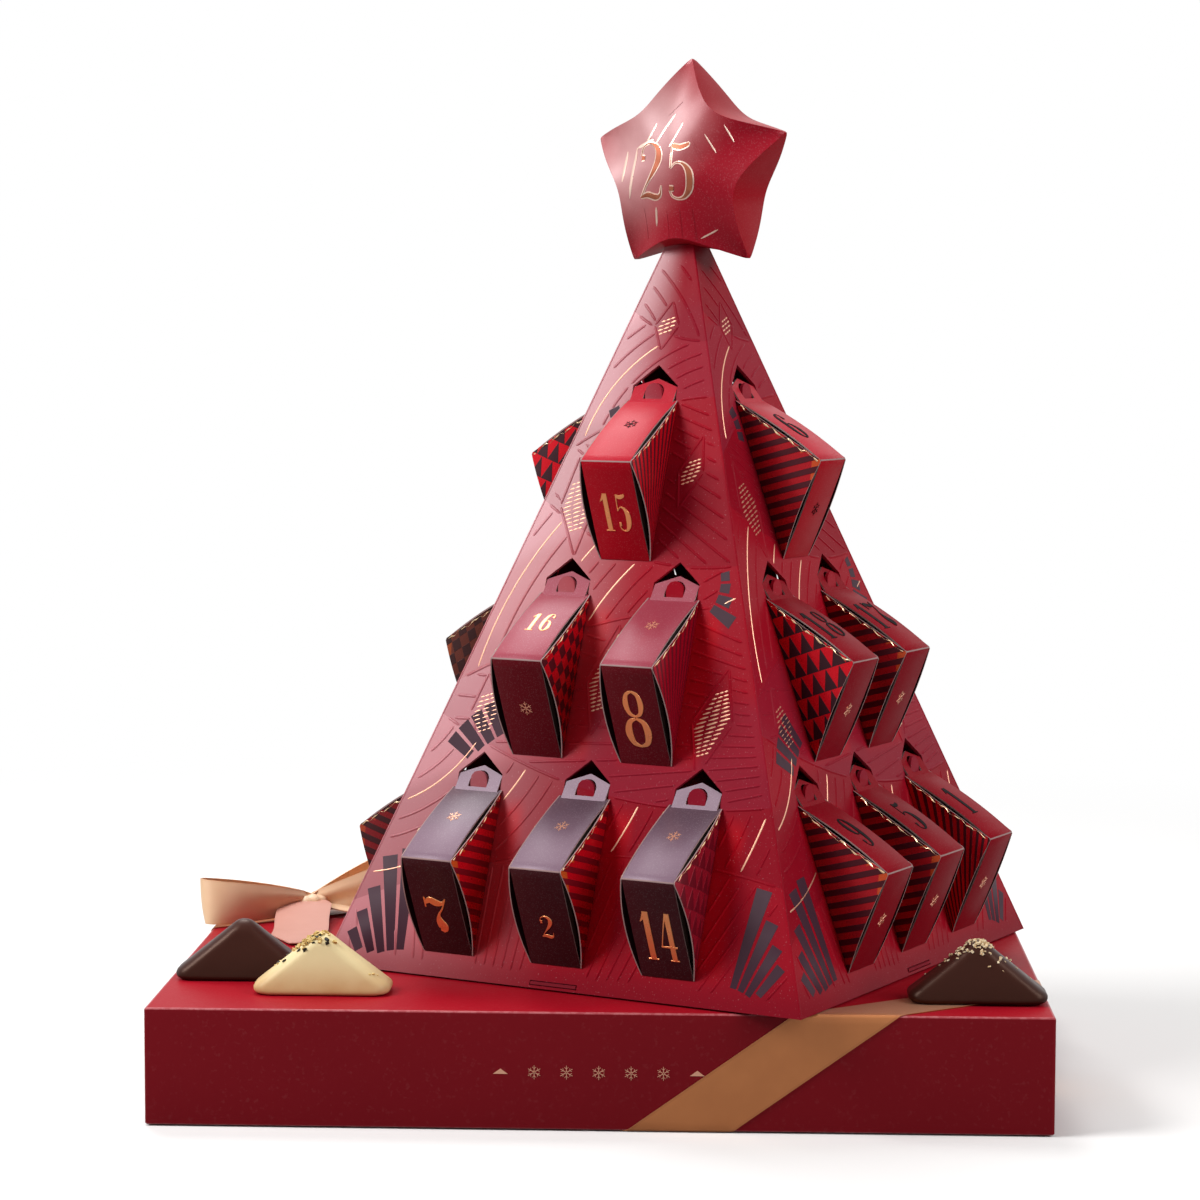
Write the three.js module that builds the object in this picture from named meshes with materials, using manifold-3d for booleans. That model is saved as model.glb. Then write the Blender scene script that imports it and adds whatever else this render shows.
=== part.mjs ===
// A chocolate advent calendar: a card pyramid tree with 24 praline boxes and a star,
// standing on a flat gift box that is tied with a ribbon. Millimetres, +Z up.
// The origin is the centre of the gift box's underside.
import * as THREE from 'three';
import { mergeVertices } from 'three/addons/utils/BufferGeometryUtils.js';
import Module from 'manifold-3d';

const wasm = await Module();
wasm.setup();

// Gift box
const giftLength = 310;
const giftDepth = 210;
const giftHeight = 41;
const boardThickness = 2;
const lidPlay = 0.8; // between the lid's skirt and the tray's walls
const lidRimLift = 0.6; // the lid's rim stops this far above the table
const seatGap = 0.3; // left between pieces that rest on each other

// Ribbon
const ribbonWidth = 21;
const ribbonThickness = 0.25;
const ribbonGap = 0.15; // between the ribbon and the box
const ribbonFrontFoot = 28; // where its middle crosses the front bottom edge
const grooveMargin = 1; // the pressed groove under the tray is this much wider on each side
const grooveOverrun = 1.5; // the groove's cutter is this many times as long as the strand

// Bow
const knotFromLeft = 34; // from the lid's left edge to the knot's middle
const knotFromBack = 29;
const knotLift = 0.7; // between the ribbon's top strand and the knot
const knotSize = [13, 11, 7];
const bowThickness = 0.5;
const bowNeck = 4.5; // the height of a loop where the knot gathers it
const loopHeight = 15.1; // and at its far end
const loopFatness = 8;
const loopLean = 0.3; // a loop's upper edge leans over this much per millimetre of height
const loopFloat = 0.3; // between a loop's lower edge and what the tails lie on
const loopSteps = 12;
const leftLoopReach = 47;
const leftLoopLift = 4; // from the knot's middle to the middle of the loop's far end
const rightLoopReach = 45;
const rightLoopLift = 11;
const rightLoopTurn = -0.1; // radians away from the ribbon's direction

// The tails, from the knot to the tip: x and y from the knot's middle, the height above
// where a tail lies flat, and the width there
const frontTailHeading = -1.51;
const frontTailPath = [
  [-1, -2, 4.55, 8], [-1.5, -10, 4.25, 16], [-0.5, -24, 1.85, ribbonWidth],
  [1, -38, 0.2, ribbonWidth], [1.6, -50.5, 0, ribbonWidth], [2.4, -67, 0, 0.6],
];
const sideTailHeading = 0.12;
const sideTailPath = [
  [2, 0, 3.55, 8], [11, 1, 2.05, 16], [21, 3, 0.6, ribbonWidth],
  [35, 4.5, 0, ribbonWidth], [45, 5.5, 0, 0.6],
];

// Tree pyramid
const treeSide = 194;
const treeHeight = 278; // to the point where the faces would meet
const tipCut = 16.5; // the pyramid is cut off this far below that point
const treeTurn = -27.45; // degrees about the vertical
const treeCentre = [27.4, 14.7];
const treeWall = 1.2;

// Floor panel and its lock tabs
const floorThickness = 1;
const floorLift = 1.2;
const lockTabWidth = 18.4;
const lockSlotPlay = 0.35;
const lockTabProud = 0.2;

// Praline boxes, in the plane of a face: x along the base, y up the slope, z outwards
const cardWidth = 20.8;
const cardBack = 60.3;
const cardReach = 26.2; // how far the front crease stands off the face
const cardCreaseDrop = 31.2; // from the box's top to the height of the front crease
const card = 0.6;
const panelWidth = 20; // the top and front panels between the bowed walls
const wallBow = 2.8; // how far each side wall bows outwards
const wallSteps = 4;
const cutOverrun = 3; // a cutter reaches this far past what it cuts
const hair = 0.001; // the least height of a solid's sharp front edge
const rowHeights = [69, 142.85, 216.7]; // of the boxes' tops, up the slope
const columnPitch = 44.6;

// Tab above each praline box, and the face's window and tongue that hold it
const tabWidth = 17.8;
const tabCrease = -1.5;
const tabShoulder = 5.4;
const tabTop = 9;
const tabTilt = 0.3; // the tab leans back this much per millimetre of height
const tabHoleBottom = 0.4;
const tongueWidth = 7;
const tongueRoot = 1; // it runs this far into the card below its window
const tongueTip = 6.5;
const tongueBend = 0.8; // the height at which the tongue bends outwards
const tongueLean = 0.25;
const tonguePlay = 0.4; // between the tongue and the rim of the tab's hole
const windowPlay = 0.3; // between the tab and the sides of the window
const windowBottom = -2.6;
const windowShoulder = 5.8;
const windowTop = 13.7;

// Pralines
const pralineLength = 48;
const pralineIncline = THREE.MathUtils.degToRad(39); // of both sloping faces
const pralineDepth = 19.2;
const pralineTopRadius = 5.5;
const pralineEndRadius = 2;
const pralineBevel = 1.6;

// Star
const starRadius = 40.6;
const starNotchRadius = 24.5;
const starCreaseOffset = 13.5; // from the mid plane to each crease at a notch
const starBelly = 16; // from the mid plane to the middle of each face
const starShift = 2; // the star sits this far to the right of the tree's axis
const starWall = 1.2;
const starPointSolid = 4;
const starPillow = 1.7; // the power by which the height falls from a face's middle to its rim
const starTipThickness = 0.8;
const starTongueWidth = 6;
const starTongueThickness = 1;
const starTongueRise = 13; // above the tree's tip
const starTongueDepth = 26; // below the tree's tip
const starTongueChamfer = 1;
const starSlotPlay = 0.6;

// Where the middles of the three loose pralines lie on the lid, from its left and front
// edges, or from its right edge where side is 1
const loosePralines = {
  praline_dark_plain: { side: -1, fromSide: 26.5, fromFront: 55, colour: 0x2b1a16, onRibbon: false },
  praline_white_pistachio: { side: -1, fromSide: 57.7, fromFront: 31, colour: 0xe6d6a8, onRibbon: false },
  praline_dark_nut_sprinkle: { side: 1, fromSide: 24.8, fromFront: 26, colour: 0x2e1c18, onRibbon: true },
};

// Numbers on the praline boxes, by face: the top row, the middle row and the bottom row
const faceNumbers = [
  [[7, 2, 14], [16, 8], [15]],
  [[9, 5, 1], [18, 17], [6]],
  [[19, 21, 23], [4, 13], [10]],
  [[20, 12, 22], [3, 11], [24]],
];
const rowColours = [
  [0x5a3a48, 0x7c3446, 0xb0303f],
  [0x9c2536, 0x9c2536, 0xb0303f],
  [0x5a3a48, 0x7c3446, 0xb0303f],
  [0x9c2536, 0x7c3446, 0xb0303f],
];

const slope = Math.atan2(treeHeight, treeSide / 2);
const tipHeight = treeHeight - tipCut;
const ribbonTop = giftHeight + ribbonGap + ribbonThickness;
const treeBase = ribbonTop + seatGap;
const grooveDepth = lidRimLift; // so that the ribbon runs level under the lid's rim and the tray
const bowLying = ribbonTop + seatGap + bowThickness / 2;
const knotPlace = new THREE.Vector3(
  knotFromLeft - giftLength / 2,
  giftDepth / 2 - knotFromBack,
  ribbonTop + knotLift + knotSize[2] / 2,
);

function finish(colour, roughness = 0.45, metalness = 0.1) {
  return new THREE.MeshStandardMaterial({ color: colour, roughness, metalness });
}

function toSolid(geometry, matrix) {
  const bare = geometry.clone();
  bare.deleteAttribute('normal');
  bare.deleteAttribute('uv');
  if (matrix) bare.applyMatrix4(matrix);
  const merged = mergeVertices(bare, 1e-4);
  const index = merged.index.array;
  const kept = [];
  for (let i = 0; i < index.length; i += 3) {
    const [a, b, c] = [index[i], index[i + 1], index[i + 2]];
    if (a !== b && b !== c && c !== a) kept.push(a, b, c);
  }
  const mesh = new wasm.Mesh({
    numProp: 3,
    vertProperties: new Float32Array(merged.attributes.position.array),
    triVerts: new Uint32Array(kept),
  });
  return new wasm.Manifold(mesh);
}

function toGeometry(solid) {
  const mesh = solid.getMesh();
  const geometry = new THREE.BufferGeometry();
  geometry.setAttribute('position', new THREE.Float32BufferAttribute(mesh.vertProperties, 3));
  geometry.setIndex(Array.from(mesh.triVerts));
  geometry.computeVertexNormals();
  return geometry;
}

// A geometry from points and quads or triangles, turned so that its faces point outwards
function faceted(points, faces) {
  const index = [];
  for (const face of faces) {
    for (let i = 1; i + 1 < face.length; i += 1) index.push(face[0], face[i], face[i + 1]);
  }
  let volume = 0;
  for (let i = 0; i < index.length; i += 3) {
    const [a, b, c] = [0, 1, 2].map((k) => points[index[i + k]]);
    volume += a.dot(b.clone().cross(c));
  }
  if (volume < 0) index.reverse();
  const geometry = new THREE.BufferGeometry();
  geometry.setAttribute('position', new THREE.Float32BufferAttribute(points.flatMap((p) => p.toArray()), 3));
  geometry.setIndex(index);
  geometry.computeVertexNormals();
  return geometry;
}

// Rings of points joined into one closed skin; each ring has the same number of points
function lofted(rings, closed) {
  const count = rings[0].length;
  const faces = [];
  const joins = closed ? rings.length : rings.length - 1;
  for (let i = 0; i < joins; i += 1) {
    const next = (i + 1) % rings.length;
    for (let k = 0; k < count; k += 1) {
      const side = (k + 1) % count;
      faces.push([i * count + k, i * count + side, next * count + side, next * count + k]);
    }
  }
  if (!closed) {
    faces.push(Array.from({ length: count }, (_, k) => count - 1 - k));
    faces.push(Array.from({ length: count }, (_, k) => (rings.length - 1) * count + k));
  }
  return faceted(rings.flat(), faces);
}

function boxBetween(low, high) {
  const geometry = new THREE.BoxGeometry(high[0] - low[0], high[1] - low[1], high[2] - low[2]);
  geometry.translate((low[0] + high[0]) / 2, (low[1] + high[1]) / 2, (low[2] + high[2]) / 2);
  return geometry;
}

function outline(points) {
  return new THREE.Shape(points.map(([x, y]) => new THREE.Vector2(x, y)));
}

function plate(shape, low, high) {
  const settings = { depth: high - low, bevelEnabled: false, curveSegments: 3 };
  const geometry = new THREE.ExtrudeGeometry(shape, settings);
  geometry.translate(0, 0, low);
  return geometry;
}

function named(name, geometry, material) {
  const mesh = new THREE.Mesh(geometry, material);
  mesh.name = name;
  return mesh;
}

// Gift box

function giftTray() {
  const inset = boardThickness + lidPlay;
  const x = giftLength / 2 - inset;
  const y = giftDepth / 2 - inset;
  const top = giftHeight - boardThickness - seatGap;
  const outer = toSolid(boxBetween([-x, -y, 0], [x, y, top]));
  const t = boardThickness;
  const inner = toSolid(boxBetween([-x + t, -y + t, t], [x - t, y - t, top + cutOverrun]));
  let tray = outer.subtract(inner);
  const loop = ribbonEdgePoints(ribbonFrontFoot);
  const strands = [[loop[3], loop[4]], [loop[7], loop[0]]];
  for (const [from, to] of strands) {
    const middle = from.place.clone().add(to.place).multiplyScalar(0.5);
    const along = to.place.clone().sub(from.place);
    const width = ribbonWidth + 2 * grooveMargin;
    const groove = new THREE.BoxGeometry(along.length() * grooveOverrun, width, 2 * grooveDepth);
    const matrix = new THREE.Matrix4().makeRotationZ(Math.atan2(along.y, along.x));
    matrix.setPosition(middle.x, middle.y, 0);
    tray = tray.subtract(toSolid(groove, matrix));
  }
  return named('gift_tray', toGeometry(tray), finish(0x6e1620, 0.7));
}

function giftLid() {
  const [x, y, t] = [giftLength / 2, giftDepth / 2, boardThickness];
  const outer = toSolid(boxBetween([-x, -y, lidRimLift], [x, y, giftHeight]));
  const below = lidRimLift - cutOverrun;
  const inner = toSolid(boxBetween([-x + t, -y + t, below], [x - t, y - t, giftHeight - t]));
  return named('gift_lid', toGeometry(outer.subtract(inner)), finish(0x84141f, 0.5));
}

// The points where one edge of the ribbon crosses the box's edges, each with the two
// outward directions there. The ribbon's slope closes the loop on the unfolded box.
function ribbonEdgePoints(foot) {
  const [x, y] = [giftLength / 2, giftDepth / 2];
  const [low, high] = [lidRimLift, giftHeight];
  const rise = high - low;
  const steep = (giftDepth + rise) / (giftLength + rise);
  const points = [];
  const half = (sign) => {
    const front = sign * foot;
    const top = front + (sign * rise) / steep;
    const edge = -sign * y + (sign * x - top) * steep;
    const down = edge + sign * rise * steep;
    points.push({ place: new THREE.Vector3(front, -sign * y, low), out: [0, -sign, -1] });
    points.push({ place: new THREE.Vector3(top, -sign * y, high), out: [0, -sign, 1] });
    points.push({ place: new THREE.Vector3(sign * x, edge, high), out: [sign, 0, 1] });
    points.push({ place: new THREE.Vector3(sign * x, down, low), out: [sign, 0, -1] });
  };
  half(1);
  half(-1);
  return points;
}

function ribbonWrap() {
  const rise = giftHeight - lidRimLift;
  const angle = Math.atan2(giftDepth + rise, giftLength + rise);
  const shift = ribbonWidth / 2 / Math.sin(angle);
  const edges = [ribbonEdgePoints(ribbonFrontFoot - shift), ribbonEdgePoints(ribbonFrontFoot + shift)];
  const rings = edges[0].map((_, i) => {
    const corner = (edge, off) => {
      const { place, out } = edges[edge][i];
      return place.clone().addScaledVector(new THREE.Vector3(...out), off);
    };
    const [near, far] = [ribbonGap, ribbonGap + ribbonThickness];
    return [corner(0, near), corner(1, near), corner(1, far), corner(0, far)];
  });
  return named('ribbon_wrap', lofted(rings, true), finish(0xa5693c, 0.35, 0.3));
}

// A band of ribbon through the points, each given with the vector across its width
function band(stations) {
  const middle = stations.map((s) => new THREE.Vector3(...s.at));
  const rings = stations.map((s, i) => {
    const before = middle[Math.max(i - 1, 0)];
    const after = middle[Math.min(i + 1, middle.length - 1)];
    const across = new THREE.Vector3(...s.across);
    const normal = after.clone().sub(before).cross(across).normalize();
    const corner = (a, n) => {
      const edge = middle[i].clone().addScaledVector(across, a / 2);
      return edge.addScaledVector(normal, (n * bowThickness) / 2);
    };
    return [corner(-1, -1), corner(1, -1), corner(1, 1), corner(-1, 1)];
  });
  return lofted(rings, false);
}

// A loop of the bow that leaves the knot, turns round at its far end and comes back.
// It stands on edge: across is mostly upwards, narrow at the knot and full at the end.
function bowLoop(reach, heading, lift) {
  const [cos, sin] = [Math.cos(heading), Math.sin(heading)];
  const lowest = ribbonTop + seatGap + loopFloat;
  return band(Array.from({ length: loopSteps + 1 }, (_, i) => {
    const turn = (2 * Math.PI * i) / loopSteps;
    const open = (1 - Math.cos(turn)) / 2;
    const along = reach * open;
    const aside = -loopFatness * Math.sin(turn) * open ** 0.6;
    const tall = bowNeck + (loopHeight - bowNeck) * open ** 0.7;
    const lean = loopLean * tall * open;
    const z = Math.max(knotPlace.z + lift * open, lowest + tall / 2);
    return {
      at: [knotPlace.x + along * cos - aside * sin, knotPlace.y + along * sin + aside * cos, z],
      across: [-lean * sin, lean * cos, tall],
    };
  }));
}

function bowTail(path, heading) {
  return band(path.map(([x, y, lift, width]) => ({
    at: [knotPlace.x + x, knotPlace.y + y, bowLying + lift],
    across: [-width * Math.sin(heading), width * Math.cos(heading), 0],
  })));
}

function ribbonBow() {
  const strand = Math.atan2(giftDepth + giftHeight, giftLength + giftHeight);
  const knot = new THREE.SphereGeometry(0.5, 10, 6).scale(...knotSize);
  const pieces = [
    toSolid(bowLoop(leftLoopReach, Math.PI + strand, leftLoopLift)),
    toSolid(bowLoop(rightLoopReach, strand + rightLoopTurn, rightLoopLift)),
    toSolid(bowTail(frontTailPath, frontTailHeading)),
    toSolid(bowTail(sideTailPath, sideTailHeading)),
  ];
  const place = new THREE.Matrix4().makeTranslation(knotPlace.x, knotPlace.y, knotPlace.z);
  const bow = pieces.reduce((whole, piece) => whole.add(piece), toSolid(knot, place));
  return named('ribbon_bow', toGeometry(bow), finish(0xd9a878, 0.35, 0.2));
}

// Tree

// The matrix of a face: x along its base, y up its slope, z outwards, from the middle of its base
function faceMatrix(face) {
  const turn = new THREE.Matrix4().makeRotationZ((face * Math.PI) / 2);
  const out = new THREE.Matrix4().makeTranslation(0, -treeSide / 2, 0);
  const tilt = new THREE.Matrix4().makeRotationX(slope);
  return turn.multiply(out).multiply(tilt);
}

function pyramid(inset, low, high) {
  const halfAt = (z) => (treeSide / 2) * (1 - z / treeHeight) - inset / Math.sin(slope);
  const corners = [[-1, -1], [1, -1], [1, 1], [-1, 1]];
  const ring = (z) => corners.map(([a, b]) => new THREE.Vector3(a * halfAt(z), b * halfAt(z), z));
  return lofted([ring(low), ring(high)], false);
}

function columnPlaces(row) {
  const count = rowHeights.length - row;
  return Array.from({ length: count }, (_, i) => (i - (count - 1) / 2) * columnPitch);
}

function eachPlace(visit) {
  for (let face = 0; face < 4; face += 1) {
    for (let row = 0; row < rowHeights.length; row += 1) {
      columnPlaces(row).forEach((x, column) => visit(face, row, column, x, rowHeights[row]));
    }
  }
}

function windowOutline() {
  const half = tabWidth / 2 + windowPlay;
  return outline([
    [-half, windowBottom], [half, windowBottom], [half, windowShoulder],
    [0, windowTop], [-half, windowShoulder],
  ]);
}

// The tongue is flat up to its bend, where it leans outwards through the tab's hole
function faceTongue() {
  const half = tongueWidth / 2;
  const foot = windowBottom - tongueRoot;
  const flat = outline([[-half, foot], [half, foot], [half, tongueBend], [-half, tongueBend]]);
  const root = plate(flat, -treeWall, 0);
  const rise = tongueTip - tongueBend;
  const tip = new THREE.Shape();
  tip.moveTo(-half, -tongueRoot / 5);
  tip.lineTo(half, -tongueRoot / 5);
  tip.lineTo(half, rise - half);
  tip.absarc(0, rise - half, half, 0, Math.PI, false);
  tip.lineTo(-half, -tongueRoot / 5);
  const lean = new THREE.Matrix4().makeRotationX(Math.atan(tongueLean));
  lean.premultiply(new THREE.Matrix4().makeTranslation(0, tongueBend, 0));
  return toSolid(root).add(toSolid(plate(tip, -treeWall, 0), lean));
}

function treeShell() {
  const hollow = toSolid(pyramid(treeWall, -cutOverrun, tipHeight + cutOverrun));
  let shell = toSolid(pyramid(0, 0, tipHeight)).subtract(hollow);
  const opening = toSolid(plate(windowOutline(), -treeWall - cutOverrun, cutOverrun));
  const tongue = faceTongue();
  eachPlace((face, row, column, x, y) => {
    const place = faceMatrix(face).multiply(new THREE.Matrix4().makeTranslation(x, y, 0));
    shell = shell.subtract(opening.transform(place.elements)).add(tongue.transform(place.elements));
  });
  const half = lockTabWidth / 2 + lockSlotPlay;
  const [low, high] = [floorLift - lockSlotPlay, floorLift + floorThickness + lockSlotPlay];
  const long = treeSide / 2 + cutOverrun;
  shell = shell.subtract(toSolid(boxBetween([-half, -long, low], [half, long, high])));
  shell = shell.subtract(toSolid(boxBetween([-long, -half, low], [long, half, high])));
  return named('tree_shell', toGeometry(shell), finish(0xa8324e, 0.4, 0.2));
}

function treeFloor() {
  const top = floorLift + floorThickness;
  const wallAt = (z) => (treeSide / 2) * (1 - z / treeHeight);
  const half = wallAt(top) - treeWall / Math.sin(slope) - seatGap;
  const tab = wallAt((floorLift + top) / 2) + lockTabProud;
  const wide = lockTabWidth / 2;
  const panel = toSolid(boxBetween([-half, -half, floorLift], [half, half, top]));
  const across = toSolid(boxBetween([-tab, -wide, floorLift], [tab, wide, top]));
  const along = toSolid(boxBetween([-wide, -tab, floorLift], [wide, tab, top]));
  return named('tree_floor', toGeometry(panel.add(across).add(along)), finish(0x8a8078, 0.9, 0));
}

// A card wedge that jams inside the tip from below; its narrow end stands up into the star
function starTongue() {
  const innerAt = (z) => (treeSide / 2) * (1 - z / treeHeight) - treeWall / Math.sin(slope) - seatGap;
  const low = tipHeight - starTongueDepth;
  const top = tipHeight + starTongueRise;
  const [wide, shoulder, narrow] = [innerAt(low), innerAt(tipHeight), starTongueWidth / 2];
  const side = [
    [wide, low], [shoulder, tipHeight], [narrow, tipHeight],
    [narrow, top - starTongueChamfer], [narrow - starTongueChamfer, top],
  ];
  const shape = outline([...side, ...side.map(([x, z]) => [-x, z]).reverse()]);
  const geometry = plate(shape, -starTongueThickness / 2, starTongueThickness / 2);
  geometry.rotateX(Math.PI / 2);
  return named('star_tongue', geometry, finish(0x5c1420, 0.6));
}

// Praline box

// The solid between the box's three folded panels, drawn in by inset, at most halfWidth(s)
// wide on each side, where s runs from 0 at the back to 1 at the front crease
function wedge(inset, halfWidth, steps) {
  const [back, front] = [seatGap, cardReach];
  const reach = front - back;
  const topSlope = cardCreaseDrop / reach;
  const lowSlope = (cardBack - cardCreaseDrop) / reach;
  const topInset = inset * Math.hypot(1, topSlope);
  const lowInset = inset * Math.hypot(1, lowSlope);
  const low = back + inset;
  const high = front - (topInset + lowInset) / (topSlope + lowSlope);
  const rings = Array.from({ length: steps + 1 }, (_, i) => {
    const z = low + ((high - low) * i) / steps;
    const top = -(z - back) * topSlope - topInset;
    const bottom = i === steps ? top - hair : -cardBack + (z - back) * lowSlope + lowInset;
    const x = halfWidth((z - back) / reach);
    return [[-x, bottom, z], [x, bottom, z], [x, top, z], [-x, top, z]].map((p) => new THREE.Vector3(...p));
  });
  return lofted(rings, false);
}

function bowedHalf(s) {
  return cardWidth / 2 + wallBow * 4 * s * (1 - s);
}

function sideWalls() {
  const whole = toSolid(wedge(0, bowedHalf, wallSteps));
  const innerHalf = (s) => bowedHalf(THREE.MathUtils.clamp(s, 0, 1)) - card;
  const between = toSolid(wedge(-cutOverrun, innerHalf, wallSteps * 2));
  return whole.subtract(between);
}

function foldedPanels() {
  const outer = toSolid(wedge(0, () => panelWidth / 2, 1));
  const inner = toSolid(wedge(card, () => panelWidth, 1));
  return outer.subtract(inner);
}

function tab() {
  const half = tabWidth / 2;
  const shape = outline([
    [-half, tabCrease], [half, tabCrease], [half, tabShoulder], [0, tabTop], [-half, tabShoulder],
  ]);
  const hole = new THREE.Path();
  const wide = tongueWidth / 2 + tonguePlay;
  const top = tongueTip + tonguePlay - wide;
  hole.moveTo(wide, tabHoleBottom);
  hole.lineTo(-wide, tabHoleBottom);
  hole.lineTo(-wide, top);
  hole.absarc(0, top, wide, Math.PI, 0, true);
  hole.lineTo(wide, tabHoleBottom);
  shape.holes.push(hole);
  const geometry = plate(shape, -card, 0);
  const topSlope = (cardReach - seatGap) / cardCreaseDrop;
  const start = seatGap - tabCrease * topSlope;
  const lean = new THREE.Matrix4().set(
    1, 0, 0, 0,
    0, 1, 0, 0,
    0, -tabTilt, 1, start + tabTilt * tabCrease,
    0, 0, 0, 1,
  );
  return toSolid(geometry, lean);
}

function pralineBoxGeometry() {
  return toGeometry(foldedPanels().add(sideWalls()).add(tab()));
}

// Praline: an obtuse triangular prism with rounded edges, on its long side, middle at the origin.
// The circles that round its ends and its top touch the two sloping faces.
function pralineGeometry() {
  const [slant, end, top] = [pralineIncline, pralineEndRadius, pralineTopRadius];
  const endAt = pralineLength / 2 - end;
  const topAt = end + endAt * Math.tan(slant) + (end - top) / Math.cos(slant);
  const shape = new THREE.Shape();
  shape.absarc(endAt, end, end, -Math.PI / 2, Math.PI / 2 - slant, false);
  shape.absarc(0, topAt, top, Math.PI / 2 - slant, Math.PI / 2 + slant, false);
  shape.absarc(-endAt, end, end, Math.PI / 2 + slant, (3 * Math.PI) / 2, false);
  shape.closePath();
  const geometry = new THREE.ExtrudeGeometry(shape, {
    depth: pralineDepth - 2 * pralineBevel,
    bevelEnabled: true,
    bevelThickness: pralineBevel,
    bevelSize: pralineBevel,
    bevelOffset: -pralineBevel,
    bevelSegments: 1,
    curveSegments: 2,
  });
  geometry.translate(0, 0, -(pralineDepth / 2 - pralineBevel));
  return toGeometry(toSolid(geometry));
}

// In a box the praline lies with its long side on the back panel and slides down
// until the round at its lower end meets the front panel
function boxedPraline(name, geometry) {
  const frontAngle = Math.atan2(cardReach - seatGap, cardBack - cardCreaseDrop);
  const roundToFold = pralineEndRadius + seatGap + card;
  const middle = -cardBack + roundToFold / Math.tan(frontAngle / 2) + pralineLength / 2 - pralineEndRadius;
  const mesh = named(name, geometry, finish(0x3a241c, 0.4, 0));
  mesh.position.set(0, middle, 2 * seatGap + card);
  mesh.rotation.set(Math.PI / 2, Math.PI / 2, 0);
  return mesh;
}

// Star

// One fifth of the outline runs from a point to a notch and back; s is 0 at a point
function starRing(point, notch, crease, tip, steps) {
  const ring = [];
  for (let i = 0; i < 10 * steps; i += 1) {
    const half = Math.floor(i / steps);
    const share = (i % steps) / steps;
    const s = half % 2 === 0 ? share : 1 - share;
    const corner = (k) => {
      const r = k % 2 === 0 ? point : notch;
      const a = Math.PI / 2 + (k * Math.PI) / 5;
      return new THREE.Vector2(r * Math.cos(a), r * Math.sin(a));
    };
    const flat = corner(half).lerp(corner(half + 1), share);
    ring.push({ flat, height: tip + (crease - tip) * Math.sin((Math.PI / 2) * s) });
  }
  return ring;
}

function starSolid(point, notch, crease, belly, tip, steps, rings) {
  const edge = starRing(point, notch, crease, tip, steps);
  const points = [];
  const faces = [];
  const count = edge.length;
  for (const side of [1, -1]) {
    const start = points.length;
    points.push(new THREE.Vector3(0, 0, side * belly));
    for (let k = 1; k <= rings; k += 1) {
      const t = k / rings;
      for (const { flat, height } of edge) {
        const z = height + (belly - height) * (1 - t ** starPillow);
        points.push(new THREE.Vector3(flat.x * t, flat.y * t, side * z));
      }
    }
    for (let i = 0; i < count; i += 1) {
      const next = (i + 1) % count;
      const at = (k, j) => start + 1 + (k - 1) * count + j;
      const patch = [[start, at(1, i), at(1, next)]];
      for (let k = 1; k < rings; k += 1) patch.push([at(k, i), at(k + 1, i), at(k + 1, next), at(k, next)]);
      faces.push(...(side > 0 ? patch : patch.map((f) => f.slice().reverse())));
    }
  }
  const rim = (side, j) => (side > 0 ? 0 : points.length / 2) + 1 + (rings - 1) * count + j;
  for (let i = 0; i < count; i += 1) {
    const next = (i + 1) % count;
    faces.push([rim(1, i), rim(-1, i), rim(-1, next), rim(1, next)]);
  }
  return toSolid(faceted(points, faces));
}

function starShell() {
  const outer = starSolid(
    starRadius, starNotchRadius, starCreaseOffset,
    starBelly, starTipThickness / 2, 4, 3,
  );
  const inner = starSolid(
    starRadius - starPointSolid, starNotchRadius - starWall, starCreaseOffset - starWall,
    starBelly - starWall, starTipThickness / 4, 2, 2,
  );
  const half = starTongueWidth / 2 + starShift + starSlotPlay;
  const deep = starTongueThickness / 2 + starSlotPlay;
  const slot = toSolid(boxBetween([-half, -starRadius, -deep], [half, -starNotchRadius / 2, deep]));
  const geometry = toGeometry(outer.subtract(inner).subtract(slot));
  return named('star_shell', geometry, finish(0xb04a5c, 0.4, 0.2));
}

// The height of the star praline's underside: its round ends rest on the side walls
// that rise from the star's two lower side notches
function starPralineBase() {
  const corner = (r, degrees) => {
    const a = THREE.MathUtils.degToRad(degrees);
    return new THREE.Vector2(r * Math.cos(a), r * Math.sin(a));
  };
  const notch = corner(starNotchRadius - starWall, -18);
  const wall = corner(starRadius - starPointSolid, 18).sub(notch).normalize();
  const inwards = new THREE.Vector2(-wall.y, wall.x);
  const endAt = pralineLength / 2 - pralineEndRadius;
  const needed = pralineEndRadius + seatGap - (endAt - notch.x) * inwards.x;
  return notch.y + needed / inwards.y - pralineEndRadius;
}

// Assembly

const calendar = new THREE.Group();
calendar.add(giftTray(), giftLid(), ribbonWrap(), ribbonBow());

const tree = new THREE.Group();
tree.position.set(treeCentre[0], treeCentre[1], treeBase);
tree.rotation.z = THREE.MathUtils.degToRad(treeTurn);
tree.add(treeShell(), treeFloor(), starTongue());
calendar.add(tree);

const boxGeometry = pralineBoxGeometry();
const filling = pralineGeometry();
eachPlace((face, row, column, x, y) => {
  const place = new THREE.Group();
  const matrix = faceMatrix(face).multiply(new THREE.Matrix4().makeTranslation(x, y, 0));
  matrix.decompose(place.position, place.quaternion, place.scale);
  const number = String(faceNumbers[face][row][column]).padStart(2, '0');
  place.add(named(`box_${number}`, boxGeometry, finish(rowColours[face][row])));
  place.add(boxedPraline(`praline_${number}`, filling));
  tree.add(place);
});

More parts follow.
